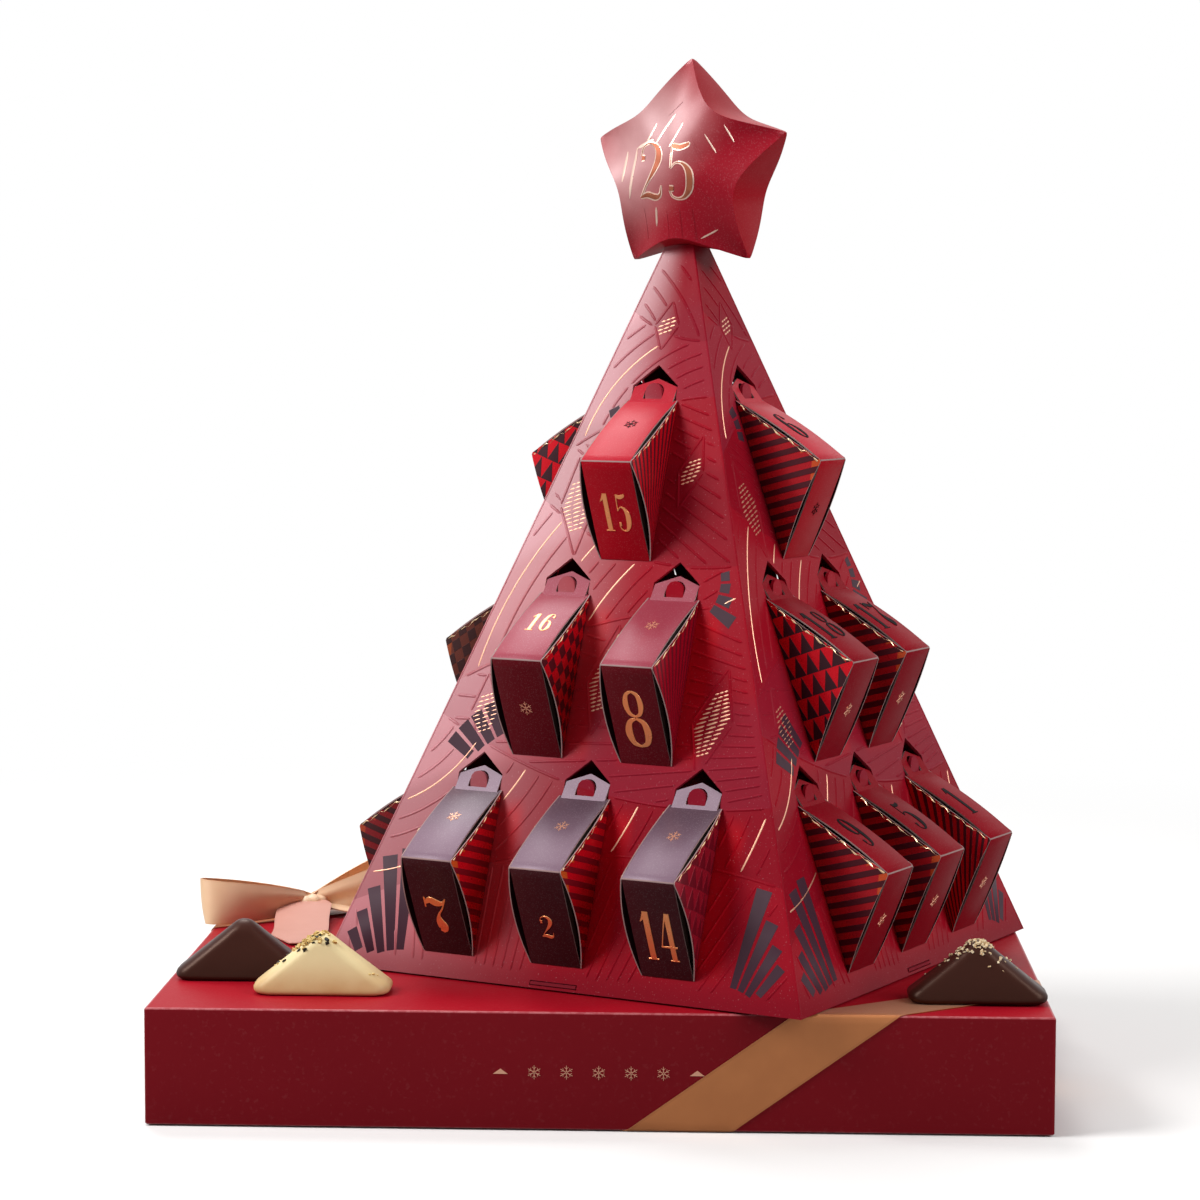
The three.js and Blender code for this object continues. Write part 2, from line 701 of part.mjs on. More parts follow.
// The star stands on the tip's left corner, where its lower notch is this much lower than its middle
const star = new THREE.Group();
const notchAngle = Math.PI / 5;
const notchRise = starRadius * Math.cos(notchAngle) - starNotchRadius;
const notchRun = starRadius * Math.sin(notchAngle);
const tipHalf = (treeSide / 2) * (1 - tipHeight / treeHeight);
const flankDrop = (tipHalf + starShift) * (notchRise / notchRun);
star.position.set(starShift, 0, tipHeight + seatGap + flankDrop + starNotchRadius);
star.rotation.x = Math.PI / 2;
star.add(starShell());
const starFilling = named('star_praline', filling, finish(0x3a241c, 0.4, 0));
starFilling.position.set(0, starPralineBase(), 0);
star.add(starFilling);
tree.add(star);

for (const [name, loose] of Object.entries(loosePralines)) {
  const mesh = named(name, filling, finish(loose.colour, 0.4, 0));
  mesh.position.set(
    loose.side * (giftLength / 2 - loose.fromSide),
    loose.fromFront - giftDepth / 2,
    (loose.onRibbon ? ribbonTop : giftHeight) + seatGap,
  );
  mesh.rotation.set(Math.PI / 2, 0, 0);
  calendar.add(mesh);
}

export default calendar;
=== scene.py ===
# %% [markdown]
# # Chocolate advent calendar
#
# A card pyramid tree carries 24 praline boxes on its four faces and a puffed star on
# its tip. It stands on a flat gift box that is tied with a copper ribbon, and three
# pralines lie beside it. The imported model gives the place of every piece. This script
# gives each piece its fine surface and its finish.

# %% Load the frame
import math

import bmesh
import bpy
import numpy as np
from mathutils import Matrix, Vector
from mathutils.bvhtree import BVHTree


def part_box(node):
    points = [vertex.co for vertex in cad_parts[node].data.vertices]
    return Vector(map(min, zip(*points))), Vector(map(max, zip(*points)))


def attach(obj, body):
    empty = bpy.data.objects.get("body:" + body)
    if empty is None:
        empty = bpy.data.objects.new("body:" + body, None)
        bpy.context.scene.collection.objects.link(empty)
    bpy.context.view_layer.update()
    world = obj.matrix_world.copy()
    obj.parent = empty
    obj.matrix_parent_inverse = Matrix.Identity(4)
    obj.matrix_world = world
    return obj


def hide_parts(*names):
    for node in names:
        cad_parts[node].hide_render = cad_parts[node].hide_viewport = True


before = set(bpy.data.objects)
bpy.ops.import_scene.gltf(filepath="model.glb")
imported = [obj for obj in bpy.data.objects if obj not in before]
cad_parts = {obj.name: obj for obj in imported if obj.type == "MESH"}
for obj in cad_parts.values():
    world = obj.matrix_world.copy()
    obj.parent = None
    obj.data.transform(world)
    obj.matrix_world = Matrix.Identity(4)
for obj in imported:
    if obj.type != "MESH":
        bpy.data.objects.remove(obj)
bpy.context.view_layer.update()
MM = 0.001

# %% [markdown]
# ## Camera
#
# The photograph was taken with a long lens from a little above the gift box, almost
# square to its long side. A camera is a place, three angles and a focal length. They
# could be set by eye, but corners of the box, the tree and the star that show in the
# photograph give them more exactly. The roll is tiny, but it shows along the box's
# edges, so it is kept.

# %% Place the camera
CAMERA_PLACE = np.array([45.17, -1192.82, 272.66]) * MM
CAMERA_TURN = math.radians(2.351)
CAMERA_PITCH = math.radians(4.782)
CAMERA_ROLL = math.radians(0.149)
CAMERA_LENS = 97.64


def unit(vector):
    """The vector divided by its length."""
    vector = np.asarray(vector, float)
    return vector / np.linalg.norm(vector, axis=-1, keepdims=True)


level = math.cos(CAMERA_PITCH)
heading = np.array([-math.sin(CAMERA_TURN), math.cos(CAMERA_TURN), 0.0])
ahead = heading * level - [0, 0, math.sin(CAMERA_PITCH)]
right = unit(np.cross(ahead, [0, 0, 1]))
above = np.cross(right, ahead)
rolled_right = right * math.cos(CAMERA_ROLL) + above * math.sin(CAMERA_ROLL)
rolled_above = above * math.cos(CAMERA_ROLL) - right * math.sin(CAMERA_ROLL)

camera_data = bpy.data.cameras.new("camera")
camera_data.lens = CAMERA_LENS
camera_data.sensor_width = 36
camera_data.clip_end = 20
camera = bpy.data.objects.new("camera", camera_data)
axes = np.eye(4)
axes[:3, :4] = np.stack([rolled_right, rolled_above, -ahead, CAMERA_PLACE], 1)
camera.matrix_world = Matrix(axes.tolist())
bpy.context.scene.collection.objects.link(camera)
bpy.context.scene.camera = camera
bpy.context.scene.view_settings.view_transform = "Standard"
print("camera at", CAMERA_PLACE.round(3))

# %% [markdown]
# ## Shader formulas
#
# A finish is a small formula: a pattern of numbers that mixes colours and drives
# roughness and bump. Python can write such formulas as expressions when a socket is
# wrapped in a class whose operators add Math nodes. Colours go through Mix nodes.


# %% A socket that can be used in a formula
class Wire:
    """The output of a node, used in formulas as if it were a number."""

    def __init__(self, finish, socket):
        self.finish = finish
        self.socket = socket

    def math(self, operation, *others):
        """A Math node whose first input is this socket."""
        return self.finish.node("Math", {"operation": operation}, dict(enumerate((self, *others))))

    def __add__(self, other):
        return self.math("ADD", other)

    def __sub__(self, other):
        return self.math("SUBTRACT", other)

    def __rsub__(self, other):
        return self.finish.node("Math", {"operation": "SUBTRACT"}, {0: other, 1: self})

    def __mul__(self, other):
        return self.math("MULTIPLY", other)

    def __truediv__(self, other):
        return self.math("DIVIDE", other)

    def __pow__(self, other):
        return self.math("POWER", other)

    __radd__ = __add__
    __rmul__ = __mul__

    def above(self, edge, soft):
        """0 below the edge, 1 above it, with a smooth step of the width soft."""
        values = {"Value": self, "From Min": edge - soft / 2, "From Max": edge + soft / 2}
        return self.finish.node("MapRange", {"interpolation_type": "SMOOTHSTEP"}, values)


# %% A finish that is being built
class Finish:
    """A Principled material with short calls for the nodes that feed it."""

    def __init__(self, name, **constants):
        self.material = bpy.data.materials.new(name)
        self.material.use_nodes = True
        self.tree = self.material.node_tree
        self.shader = self.tree.nodes["Principled BSDF"]
        for socket, value in constants.items():
            self.feed(socket.replace("_", " "), value)

    def node(self, kind, settings=None, values=None, output=0):
        """A new node: its settings are set first, then its sockets get values or links."""
        made = self.tree.nodes.new("ShaderNode" + kind)
        for name, value in (settings or {}).items():
            setattr(made, name, value)
        for name, value in (values or {}).items():
            self.join(made.inputs[name], value)
        return Wire(self, made.outputs[output])

    def join(self, socket, value):
        """Links a wire to a socket, or writes a number or a colour into it."""
        if isinstance(value, Wire):
            self.tree.links.new(value.socket, socket)
        elif socket.type == "RGBA" and len(value) == 3:
            socket.default_value = (*value, 1)
        else:
            socket.default_value = value

    def feed(self, name, value):
        """Gives one input of the Principled shader its wire or value."""
        self.join(self.shader.inputs[name], value)

    def place(self):
        """The Object coordinates, in metres."""
        return self.node("TexCoord", output="Object")

    def flat(self):
        """The two flat coordinates of the piece, in metres."""
        vector = self.node("UVMap", {"uv_map": "flat"})
        parts = self.node("SeparateXYZ", values={"Vector": vector}).socket.node
        return Wire(self, parts.outputs["X"]), Wire(self, parts.outputs["Y"])

    def noise(self, size, vector, detail=2.0):
        """Soft noise whose lumps are about size metres across."""
        return self.node("TexNoise", values={"Vector": vector, "Scale": 1 / size, "Detail": detail})

    def mix(self, share, first, second):
        """The first colour where share is 0, the second where it is 1."""
        return self.node("Mix", {"data_type": "RGBA"}, {0: share, 6: first, 7: second}, output=2)

    def bump(self, height, distance, strength):
        """The normal of a surface that rises by height times distance, in metres."""
        return self.node("Bump", values={"Height": height, "Distance": distance, "Strength": strength})


def paint(red, green, blue):
    """The linear colour of an sRGB colour given from 0 to 255."""
    share = np.array([red, green, blue]) / 255
    return tuple(np.where(share <= 0.04045, share / 12.92, ((share + 0.055) / 1.055) ** 2.4).tolist())


def darker(colour, share):
    """A linear colour times a share."""
    return tuple(c * share for c in colour)


# %% [markdown]
# ## Meshes from arrays
#
# Folded card and tied ribbon could be drawn with Blender's modelling tools, but 24 boxes
# of one kind ask for a rule instead. So every new surface is a grid of points that numpy
# works out in one go. A Skin collects such grids, with the finish of each face and two
# flat coordinates for each point, and turns them into one mesh. Each grid is a closed
# solid of its own, so that the piece has an inside and an outside everywhere.


# %% Collect grids into one mesh
class Skin:
    """Closed grids of points that end up in one mesh."""

    def __init__(self):
        self.points = []
        self.flats = []
        self.faces = []
        self.finishes = []
        self.count = 0

    def add(self, points, faces, finishes, flat=None):
        """Adds points (n, 3), faces as lists of indices, and one finish or one for each face."""
        points = np.asarray(points, float).reshape(-1, 3)
        flat = points[:, :2] if flat is None else np.asarray(flat, float).reshape(-1, 2)
        number = len(faces)
        finishes = np.broadcast_to(np.asarray(finishes), (number,))
        if enclosed(points, faces) < 0:
            faces = [face[::-1] for face in faces]
        self.faces += [[corner + self.count for corner in face] for face in faces]
        self.points.append(points)
        self.flats.append(flat)
        self.finishes.append(finishes)
        self.count += len(points)

    def piece(self, name, body, finishes, sharp=38):
        """The mesh object of all that was added, with its flat coordinates in the UV map flat."""
        mesh = bpy.data.meshes.new(name)
        mesh.from_pydata((np.concatenate(self.points) * MM).tolist(), [], self.faces)
        mesh.polygons.foreach_set("material_index", np.concatenate(self.finishes).astype(np.int32))
        mesh.polygons.foreach_set("use_smooth", np.ones(len(self.faces), bool))
        corners = np.empty(len(mesh.loops), np.int32)
        mesh.loops.foreach_get("vertex_index", corners)
        flat = np.concatenate(self.flats) * MM
        layer = mesh.uv_layers.new(name="flat")
        layer.data.foreach_set("uv", flat[corners].astype(np.float32).ravel())
        for finish in finishes:
            mesh.materials.append(finish.material)
        mesh.set_sharp_from_angle(angle=math.radians(sharp))
        mesh.validate()
        made = bpy.data.objects.new(name, mesh)
        bpy.context.scene.collection.objects.link(made)
        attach(made, body)
        return made


def enclosed(points, faces):
    """The signed volume of a closed mesh: positive where its faces point outwards."""
    fans = [(face[0], face[i], face[i + 1]) for face in faces for i in range(1, len(face) - 1)]
    a, b, c = np.asarray(points)[np.array(fans).T]
    return float(np.einsum("ij,ij->", a - points[0], np.cross(b - points[0], c - points[0])))


def grid_faces(rows, columns, round_rows=False, round_columns=False):
    """The quads of a grid of rows times columns points, which may close on itself either way."""
    row, column = np.meshgrid(
        np.arange(rows if round_rows else rows - 1),
        np.arange(columns if round_columns else columns - 1),
        indexing="ij",
    )
    below, beside = (row + 1) % rows, (column + 1) % columns
    quads = np.stack([
        row * columns + column, row * columns + beside,
        below * columns + beside, below * columns + column,
    ])
    return quads.reshape(4, -1).T.tolist()


def capped(rows, columns):
    """The faces of a tube of rings of points, with a flat face at either end."""
    faces = grid_faces(rows, columns, round_columns=True)
    first = list(range(columns))[::-1]
    last = [(rows - 1) * columns + k for k in range(columns)]
    return faces + [first, last]


def carried(path, across, rise, profile):
    """The profile's points (m, 2) carried along the path (n, 3): each lies its first number
    along across and its second along rise. The profile may differ from point to point."""
    profile = np.broadcast_to(profile, (len(path), *np.shape(profile)[-2:]))
    across, rise = np.broadcast_to(across, path.shape), np.broadcast_to(rise, path.shape)
    return path[:, None] + profile[..., :1] * across[:, None] + profile[..., 1:] * rise[:, None]


def smooth_line(points, count):
    """A Catmull-Rom curve through the points, as count points at even steps of its parameter."""
    points = np.asarray(points, float)
    padded = np.vstack([2 * points[0] - points[1], points, 2 * points[-1] - points[-2]])
    t = np.linspace(0, len(points) - 1, count)
    i = np.minimum(t.astype(int), len(points) - 2)
    f = (t - i)[:, None]
    a, b, c, d = padded[i], padded[i + 1], padded[i + 2], padded[i + 3]
    square, cube = 2 * a - 5 * b + 4 * c - d, 3 * b - a - 3 * c + d
    return 0.5 * (2 * b + (c - a) * f + square * f**2 + cube * f**3)


def ease(x):
    """A smooth step from 0 to 1."""
    x = np.clip(x, 0, 1)
    return x * x * (3 - 2 * x)


# %% [markdown]
# ## The room
#
# The calendar was photographed on white, under a large soft lamp from the upper left,
# with weaker light from elsewhere. A white world alone would do that too, but it would
# wash out the reds. So the world is white where the camera, a glossy surface or clear
# matter looks at it, and much dimmer where it lights the object. The floor keeps the
# soft shadow under the gift box and turns to plain white further out. It is darker for
# every ray that doesn't come from the camera, or it would light the card from below.

# %% Light the room and lay the floor
WORLD_LIGHT = 0.2
FLOOR_WHITE = paint(240, 239, 238)
FLOOR_BOUNCE = 0.4
FLOOR_REACH = 6.0
PLAIN_FROM, PLAIN_SOFT = 0.62, 0.5
LAMPS = {
    # name: place in metres, size in metres, power in watts
    "key_lamp": ((-1.02, -0.36, 1.0), 0.75, 18),
    "fill_lamp": ((1.35, -0.6, 1.0), 1.0, 16),
    "back_lamp": ((-0.3, 0.75, 1.5), 0.9, 15),
}
AIM = np.array([0.02, 0.0, 0.15])


def make_world():
    """White, at full strength for the camera and for glossy and clear surfaces."""
    world = bpy.data.worlds.new("white_room")
    world.use_nodes = True
    tree = world.node_tree
    tree.nodes.clear()
    ray = tree.nodes.new("ShaderNodeLightPath")
    seen = ray.outputs["Is Camera Ray"]
    for kind in ("Is Glossy Ray", "Is Transmission Ray"):
        either = tree.nodes.new("ShaderNodeMath")
        either.operation = "MAXIMUM"
        tree.links.new(seen, either.inputs[0])
        tree.links.new(ray.outputs[kind], either.inputs[1])
        seen = either.outputs[0]
    strength = tree.nodes.new("ShaderNodeMapRange")
    strength.inputs["To Min"].default_value = WORLD_LIGHT
    strength.inputs["To Max"].default_value = 1.0
    tree.links.new(seen, strength.inputs["Value"])
    background = tree.nodes.new("ShaderNodeBackground")
    background.inputs["Color"].default_value = (1, 1, 1, 1)
    tree.links.new(strength.outputs[0], background.inputs["Strength"])
    output = tree.nodes.new("ShaderNodeOutputWorld")
    tree.links.new(background.outputs[0], output.inputs["Surface"])
    bpy.context.scene.world = world


def make_lamp(name, place, side, power):
    """A round area lamp that looks at the middle of the object."""
    data = bpy.data.lights.new(name, "AREA")
    data.shape = "DISK"
    data.size = side
    data.energy = power
    lamp = bpy.data.objects.new(name, data)
    towards = unit(AIM - np.array(place))
    x_axis = unit(np.cross(towards, [0, 0, 1]))
    turned = np.eye(4)
    turned[:3, :4] = np.stack([x_axis, np.cross(x_axis, towards), -towards, place], 1)
    lamp.matrix_world = Matrix(turned.tolist())
    bpy.context.scene.collection.objects.link(lamp)


def make_floor():
    """A plate whose shader turns from pale paint near the object to plain white."""
    finish = Finish("floor_paint", Roughness=0.9, Specular_IOR_Level=0.1)
    place = finish.place()
    away = finish.node("VectorMath", {"operation": "LENGTH"}, {0: place}, output="Value")
    ray = finish.node("LightPath")
    finish.feed("Base Color", finish.mix(ray, darker(FLOOR_WHITE, FLOOR_BOUNCE), FLOOR_WHITE))
    share = away.above(PLAIN_FROM, PLAIN_SOFT) * ray
    plain = finish.node("Emission", values={"Color": (1, 1, 1), "Strength": 1.0})
    lit = Wire(finish, finish.shader.outputs[0])
    mixed = finish.node("MixShader", values={0: share, 1: lit, 2: plain})
    output = finish.tree.nodes["Material Output"]
    finish.tree.links.new(mixed.socket, output.inputs["Surface"])
    mesh = bpy.data.meshes.new("floor")
    corners = [(x * FLOOR_REACH, y * FLOOR_REACH, 0) for x, y in ((-1, -1), (1, -1), (1, 1), (-1, 1))]
    mesh.from_pydata(corners, [], [(0, 1, 2, 3)])
    mesh.materials.append(finish.material)
    floor = bpy.data.objects.new("floor", mesh)
    bpy.context.scene.collection.objects.link(floor)


make_world()
for lamp_name, lamp_values in LAMPS.items():
    make_lamp(lamp_name, *lamp_values)
make_floor()
print("lamps:", list(LAMPS))

# %% [markdown]
# ## The tree's faces
#
# Each face of the pyramid is a flat sheet with its own two coordinates: along its base
# and up its slope, in millimetres from the middle of its base. Everything on a face, the
# praline boxes too, is worked out there and then carried to its place on the tree. That
# is easier than working on a sloping face, and all four faces can share one drawing.

# %% From a face's own coordinates to the tree
TREE_SIDE = 194.0
HALF_SIDE = TREE_SIDE / 2
TREE_HEIGHT = 278.0
TIP_HEIGHT = 261.5
TREE_TURN = math.radians(-27.45)
TREE_CENTRE = np.array([27.4, 14.7, 41.7])
SLOPE = math.atan2(TREE_HEIGHT, HALF_SIDE)
FACE_LENGTH = math.hypot(TREE_HEIGHT, HALF_SIDE)
ROW_HEIGHTS = (69.0, 142.85, 216.7)
COLUMN_PITCH = 44.6


def about_z(angle):
    """The matrix of a turn about the vertical."""
    cos, sin = math.cos(angle), math.sin(angle)
    return np.array([[cos, -sin, 0], [sin, cos, 0], [0, 0, 1]])


def face_axes(face):
    """A face's base, slope and outward directions as the columns of a matrix."""
    cos, sin = math.cos(SLOPE), math.sin(SLOPE)
    tilt = np.array([[1, 0, 0], [0, cos, -sin], [0, sin, cos]])
    return about_z(TREE_TURN + face * math.pi / 2) @ tilt


def on_face(face, points):
    """Points from a face's coordinates to the frame of the object, in millimetres."""
    foot = about_z(TREE_TURN + face * math.pi / 2) @ [0, -HALF_SIDE, 0]
    return TREE_CENTRE + foot + np.asarray(points) @ face_axes(face).T


def face_half(height):
    """Half of a face's width at a height up its slope."""
    return HALF_SIDE * (1 - height / FACE_LENGTH)


def column_places(row):
    """How far the boxes of a row lie from the middle of their face."""
    count = len(ROW_HEIGHTS) - row
    return (np.arange(count) - (count - 1) / 2) * COLUMN_PITCH


BOX_PLACES = [(place, ROW_HEIGHTS[row]) for row in range(3) for place in column_places(row)]
print("box places on a face:", [(round(float(x), 1), y) for x, y in BOX_PLACES])

# %% [markdown]
# ## The tree's card
#
# The real card is printed with a patchwork of crimson, mauve and plum, and its lines are
# pressed up from the back, some of them stamped with copper foil. The pattern here is a
# plain one of that kind: bands that are filled with rays or with rings, hatched lozenges
# and fans of plum blocks. A bump map could draw the pressed lines, but real relief also
# shows at the card's edges and stays in the mesh. So each line is a low bell-shaped ridge
# that is carried along it. Ridges stop short of the windows, the boxes and the folds.

# %% Bands and lines of the pattern on one face
BORDERS = (
    # height at the middle, rise to the right, sag
    (34.0, 0.10, -14.0),
    (84.0, -0.20, 12.0),
    (126.0, 0.26, -8.0),
    (168.0, -0.30, 9.0),
    (209.0, 0.34, -5.0),
    (246.0, -0.40, 3.0),
)
BANDS = (
    # kind of line, its middle across and up, distance between lines, which ones are foil
    # (every fourth, say), or 0 for none
    ("rays", -34.0, -150.0, 6.4, 0),
    ("rings", -96.0, 112.0, 6.0, 4),
    ("rays", 150.0, 96.0, 6.2, 0),
    ("rings", 72.0, 92.0, 5.8, 3),
    ("rays", -120.0, 260.0, 5.6, 0),
    ("rings", 30.0, 190.0, 5.2, 5),
    ("rings", -70.0, 196.0, 6.4, 0),
)
LOZENGES = (
    # middle across and up, half width, half height, lean
    (0.0, 112.0, 7.5, 21.0, 0.10),
    (-24.0, 176.0, 7.0, 19.0, -0.12),
    (45.5, 99.0, 8.0, 20.0, 0.16),
    (-47.0, 97.0, 6.5, 15.0, -0.1),
    (20.5, 190.0, 5.0, 14.0, 0.2),
    (0.5, 245.5, 5.0, 9.5, 0.1),
)
HATCH_PITCH = 1.6
FOLD_CLEAR, FOOT_CLEAR, TIP_START = 2.6, 5.2, 269
BOX_CLEAR, BOX_REACH_DOWN = 11.0, 61.2
WINDOW_CLEAR, WINDOW_PEAK, WINDOW_SLANT = 1.4, 13.7, 1.165
LOZENGE_CLEAR = 0.8
BAND_CLEAR = 1.3


def border(band, x):
    """The height of the lower edge of a band: a parabola hung between the two folds."""
    height, rise, sag = BORDERS[band]
    return height + rise * x - sag * (1 - (x / face_half(height)) ** 2)


def free_of_boxes(points, margin=0.0):
    """True where a point lies on open card: off the folds, the boxes and their windows."""
    x, y = points[:, 0], points[:, 1]
    open_card = (np.abs(x) < face_half(y) - FOLD_CLEAR - margin) & (y > FOOT_CLEAR) & (y < TIP_START)
    for place, top in BOX_PLACES:
        window_side = WINDOW_CLEAR + (WINDOW_PEAK - (y - top)) * WINDOW_SLANT
        clear = np.minimum(BOX_CLEAR, window_side) + margin
        open_card &= ~((np.abs(x - place) < clear) & (y > top - BOX_REACH_DOWN - margin))
    return open_card


def in_lozenge(points):
    """True where a point lies in a lozenge or close to it."""
    x, y = points[:, 0], points[:, 1]
    inside = np.zeros(len(points), bool)
    for middle, height, wide, tall, lean in LOZENGES:
        up = y - height
        across = x - middle - lean * up
        inside |= np.abs(across) / (wide + LOZENGE_CLEAR) + np.abs(up) / (tall + LOZENGE_CLEAR) < 1
    return inside


def in_band(points, band):
    """True where a point lies between the band's two borders, off both."""
    x, y = points[:, 0], points[:, 1]
    inside = np.ones(len(points), bool)
    if band > 0:
        inside &= y > border(band - 1, x) + BAND_CLEAR
    if band < len(BORDERS):
        inside &= y < border(band, x) - BAND_CLEAR
    return inside


def runs_where(points, wanted, least=6):
    """The unbroken stretches of a line of points where wanted is true."""
    padded = np.concatenate([[0], wanted.astype(int), [0]])
    starts, ends = np.flatnonzero(np.diff(padded) == 1), np.flatnonzero(np.diff(padded) == -1)
    return [points[a:b] for a, b in zip(starts, ends) if b - a >= least]


# %% The lines of one face
LINE_STEP = 0.8


def family(kind, x, y, pitch):
    """All lines of one kind over the face: rays from a middle, or rings round it. The
    pitch of rays is their distance two fifths of the way up the face."""
    corners = np.array([[-HALF_SIDE, 0], [HALF_SIDE, 0], [0, FACE_LENGTH]]) - [x, y]
    reach = np.linalg.norm(corners, axis=1).max()
    if kind == "rings":
        for radius in np.arange(pitch, reach, pitch):
            turn = np.linspace(0, 2 * math.pi, max(int(2 * math.pi * radius / LINE_STEP), 12))
            yield np.stack([x + radius * np.cos(turn), y + radius * np.sin(turn)], 1)
        return
    middle = math.hypot(x, y - FACE_LENGTH * 0.4)
    for angle in np.arange(0, 2 * math.pi, pitch / middle):
        along = np.arange(0, reach, LINE_STEP)
        yield np.stack([x + along * math.cos(angle), y + along * math.sin(angle)], 1)


def ridge_lines():
    """Pressed lines and foil lines of a face, cut to the open card of their bands."""
    lines, foil_lines = [], []
    for band, (kind, x, y, pitch, every) in enumerate(BANDS):
        for k, line in enumerate(family(kind, x, y, pitch)):
            wanted = free_of_boxes(line) & in_band(line, band) & ~in_lozenge(line)
            chosen = foil_lines if every and k % every == 0 else lines
            chosen += runs_where(line, wanted)
    for band in range(len(BORDERS)):
        across = np.linspace(-HALF_SIDE, HALF_SIDE, 260)
        line = np.stack([across, border(band, across)], 1)
        lines += runs_where(line, free_of_boxes(line) & ~in_lozenge(line))
    for x, y, wide, tall, lean in LOZENGES:
        corners = np.array([[0, tall], [wide, 0], [0, -tall], [-wide, 0], [0, tall]], float)
        for a, b in zip(corners[:-1], corners[1:]):
            side = a + (b - a) * np.linspace(0.03, 0.97, 30)[:, None]
            side[:, 0] += lean * side[:, 1]
            side += [x, y]
            lines += runs_where(side, free_of_boxes(side))
    return lines, foil_lines


def hatch_lines():
    """Short foil bars that fill the lozenges in three columns."""
    bars = []
    for x, y, wide, tall, lean in LOZENGES:
        for height in np.arange(-tall + 2.2, tall - 2, HATCH_PITCH):
            reach = wide * (1 - abs(height) / tall) - 1.2
            for low, high in ((-1, -0.42), (-0.3, 0.3), (0.42, 1)):
                if reach * (high - low) < 1.2:
                    continue
                across = np.linspace(low, high, 8) * reach
                bar = np.stack([x + across + lean * height, y + height + 0.35 * across], 1)
                bars += runs_where(bar, free_of_boxes(bar), least=8)
    return bars


# %% One raised line
BELL = np.array([[-1, -0.12], [-0.62, 0.3], [-0.26, 0.94], [0.26, 0.94], [0.62, 0.3], [1, -0.12]])
END_TAPER, END_SHARE = 0.9, 0.35
SHORT_LINE = 4


def thinned(line, spacing):
    """A line with a point about every spacing and, unless it is short, one more near
    each end, from where the ridge sinks."""
    length = np.linalg.norm(np.diff(line, axis=0), axis=1).sum()
    count = max(int(length / spacing), 1) + 1
    pick = np.linspace(0, len(line) - 1, count + 1).round().astype(int)
    kept = line[pick]
    ends = END_TAPER * unit(kept[1] - kept[0]), END_TAPER * unit(kept[-1] - kept[-2])
    if length < SHORT_LINE:
        return kept
    return np.vstack([kept[0], kept[0] + ends[0], kept[1:-1], kept[-1] - ends[1], kept[-1]])


def ridge(line, half, height, spacing):
    """A bell-shaped ridge along a line of a face: a grid of points and its faces. The
    bell shrinks to about a third at the two ends."""
    path = thinned(line, spacing)
    along = unit(np.gradient(path, axis=0))
    across = np.stack([along[:, 1], -along[:, 0], np.zeros(len(path))], 1)
    size = np.ones(len(path))
    size[[0, -1]] = END_SHARE
    profile = BELL * [half, height] * size[:, None, None]
    flat_path = np.column_stack([path, np.zeros(len(path))])
    points = carried(flat_path, across, np.array([0.0, 0.0, 1.0]), profile)
    return points.reshape(-1, 3), capped(len(path), len(BELL))


# %% [markdown]
# ### Flat patches of plum print
#
# Near the lower corners and beside some windows the card carries plum bars side by
# side. They could be part of the card's paint, but a formula for each would be long.
# Print has no thickness to speak of, so a patch is a plate that stands 0.05 mm off the
# card, with slanted sides. That keeps its edges crisp at any distance.

# %% Plum blocks
PATCH_RISE, PATCH_SINK = 0.05, -0.08
BLOCK_START, BLOCK_SHARE = 0.11, 0.78
BLOCK_CLEAR = 0.8
BLOCK_FANS = (
    # middle across and up, nearest and farthest, first and last angle in degrees, blocks
    (-62.0, -26.0, 34.0, 72.0, 92.0, 126.0, 5),
    (66.0, -14.0, 22.0, 58.0, 52.0, 84.0, 4),
    (-22.0, 62.0, 32.0, 46.0, 118.0, 150.0, 4),
    (24.0, 148.0, 16.0, 30.0, -36.0, 20.0, 4),
    (-30.0, 206.0, 14.0, 26.0, -18.0, 30.0, 3),
)


def patch(corners):
    """A thin plate over the polygon of corners, with its upper side drawn in a little."""
    corners = np.asarray(corners, float)
    middle = corners.mean(0)
    upper = middle + (corners - middle) * 0.985
    low = np.column_stack([corners, np.full(len(corners), PATCH_SINK)])
    high = np.column_stack([upper, np.full(len(corners), PATCH_RISE)])
    return np.vstack([low, high]), capped(2, len(corners))


def block_patches():
    """Blocks that spread like a fan, each cut short where a box or a fold begins."""
    made = []
    for x, y, near, far, first, last, count in BLOCK_FANS:
        step = math.radians(last - first) / count
        for k in range(count):
            low_angle = math.radians(first) + (k + BLOCK_START) * step
            sides = []
            for angle in (low_angle, low_angle + BLOCK_SHARE * step):
                along = np.arange(near, far, 0.5)
                sides.append(np.stack([x + along * math.cos(angle), y + along * math.sin(angle)], 1))
            fits = free_of_boxes(sides[0], BLOCK_CLEAR) & free_of_boxes(sides[1], BLOCK_CLEAR)
            run = max(runs_where(np.arange(len(fits)), fits, 8), key=len, default=None)
            if run is not None:
                a, b = run[0], run[-1]
                made.append([sides[0][a], sides[0][b], sides[1][b], sides[1][a]])
    return made


PATCH_GROWTH = 1.06


def in_patches(points, patches):
    """True where a point lies in one of the blocks, or within a little of it."""
    inside = np.zeros(len(points), bool)
    for corners in patches:
        corners = np.array(corners)
        middle = corners.mean(0)
        grown = middle + (corners - middle) * PATCH_GROWTH
        edge = np.roll(grown, -1, 0) - grown
        offset = points[:, None] - grown
        turn = edge[:, 0] * offset[..., 1] - edge[:, 1] * offset[..., 0]
        inside |= np.all(turn > 0, 1) | np.all(turn < 0, 1)
    return inside


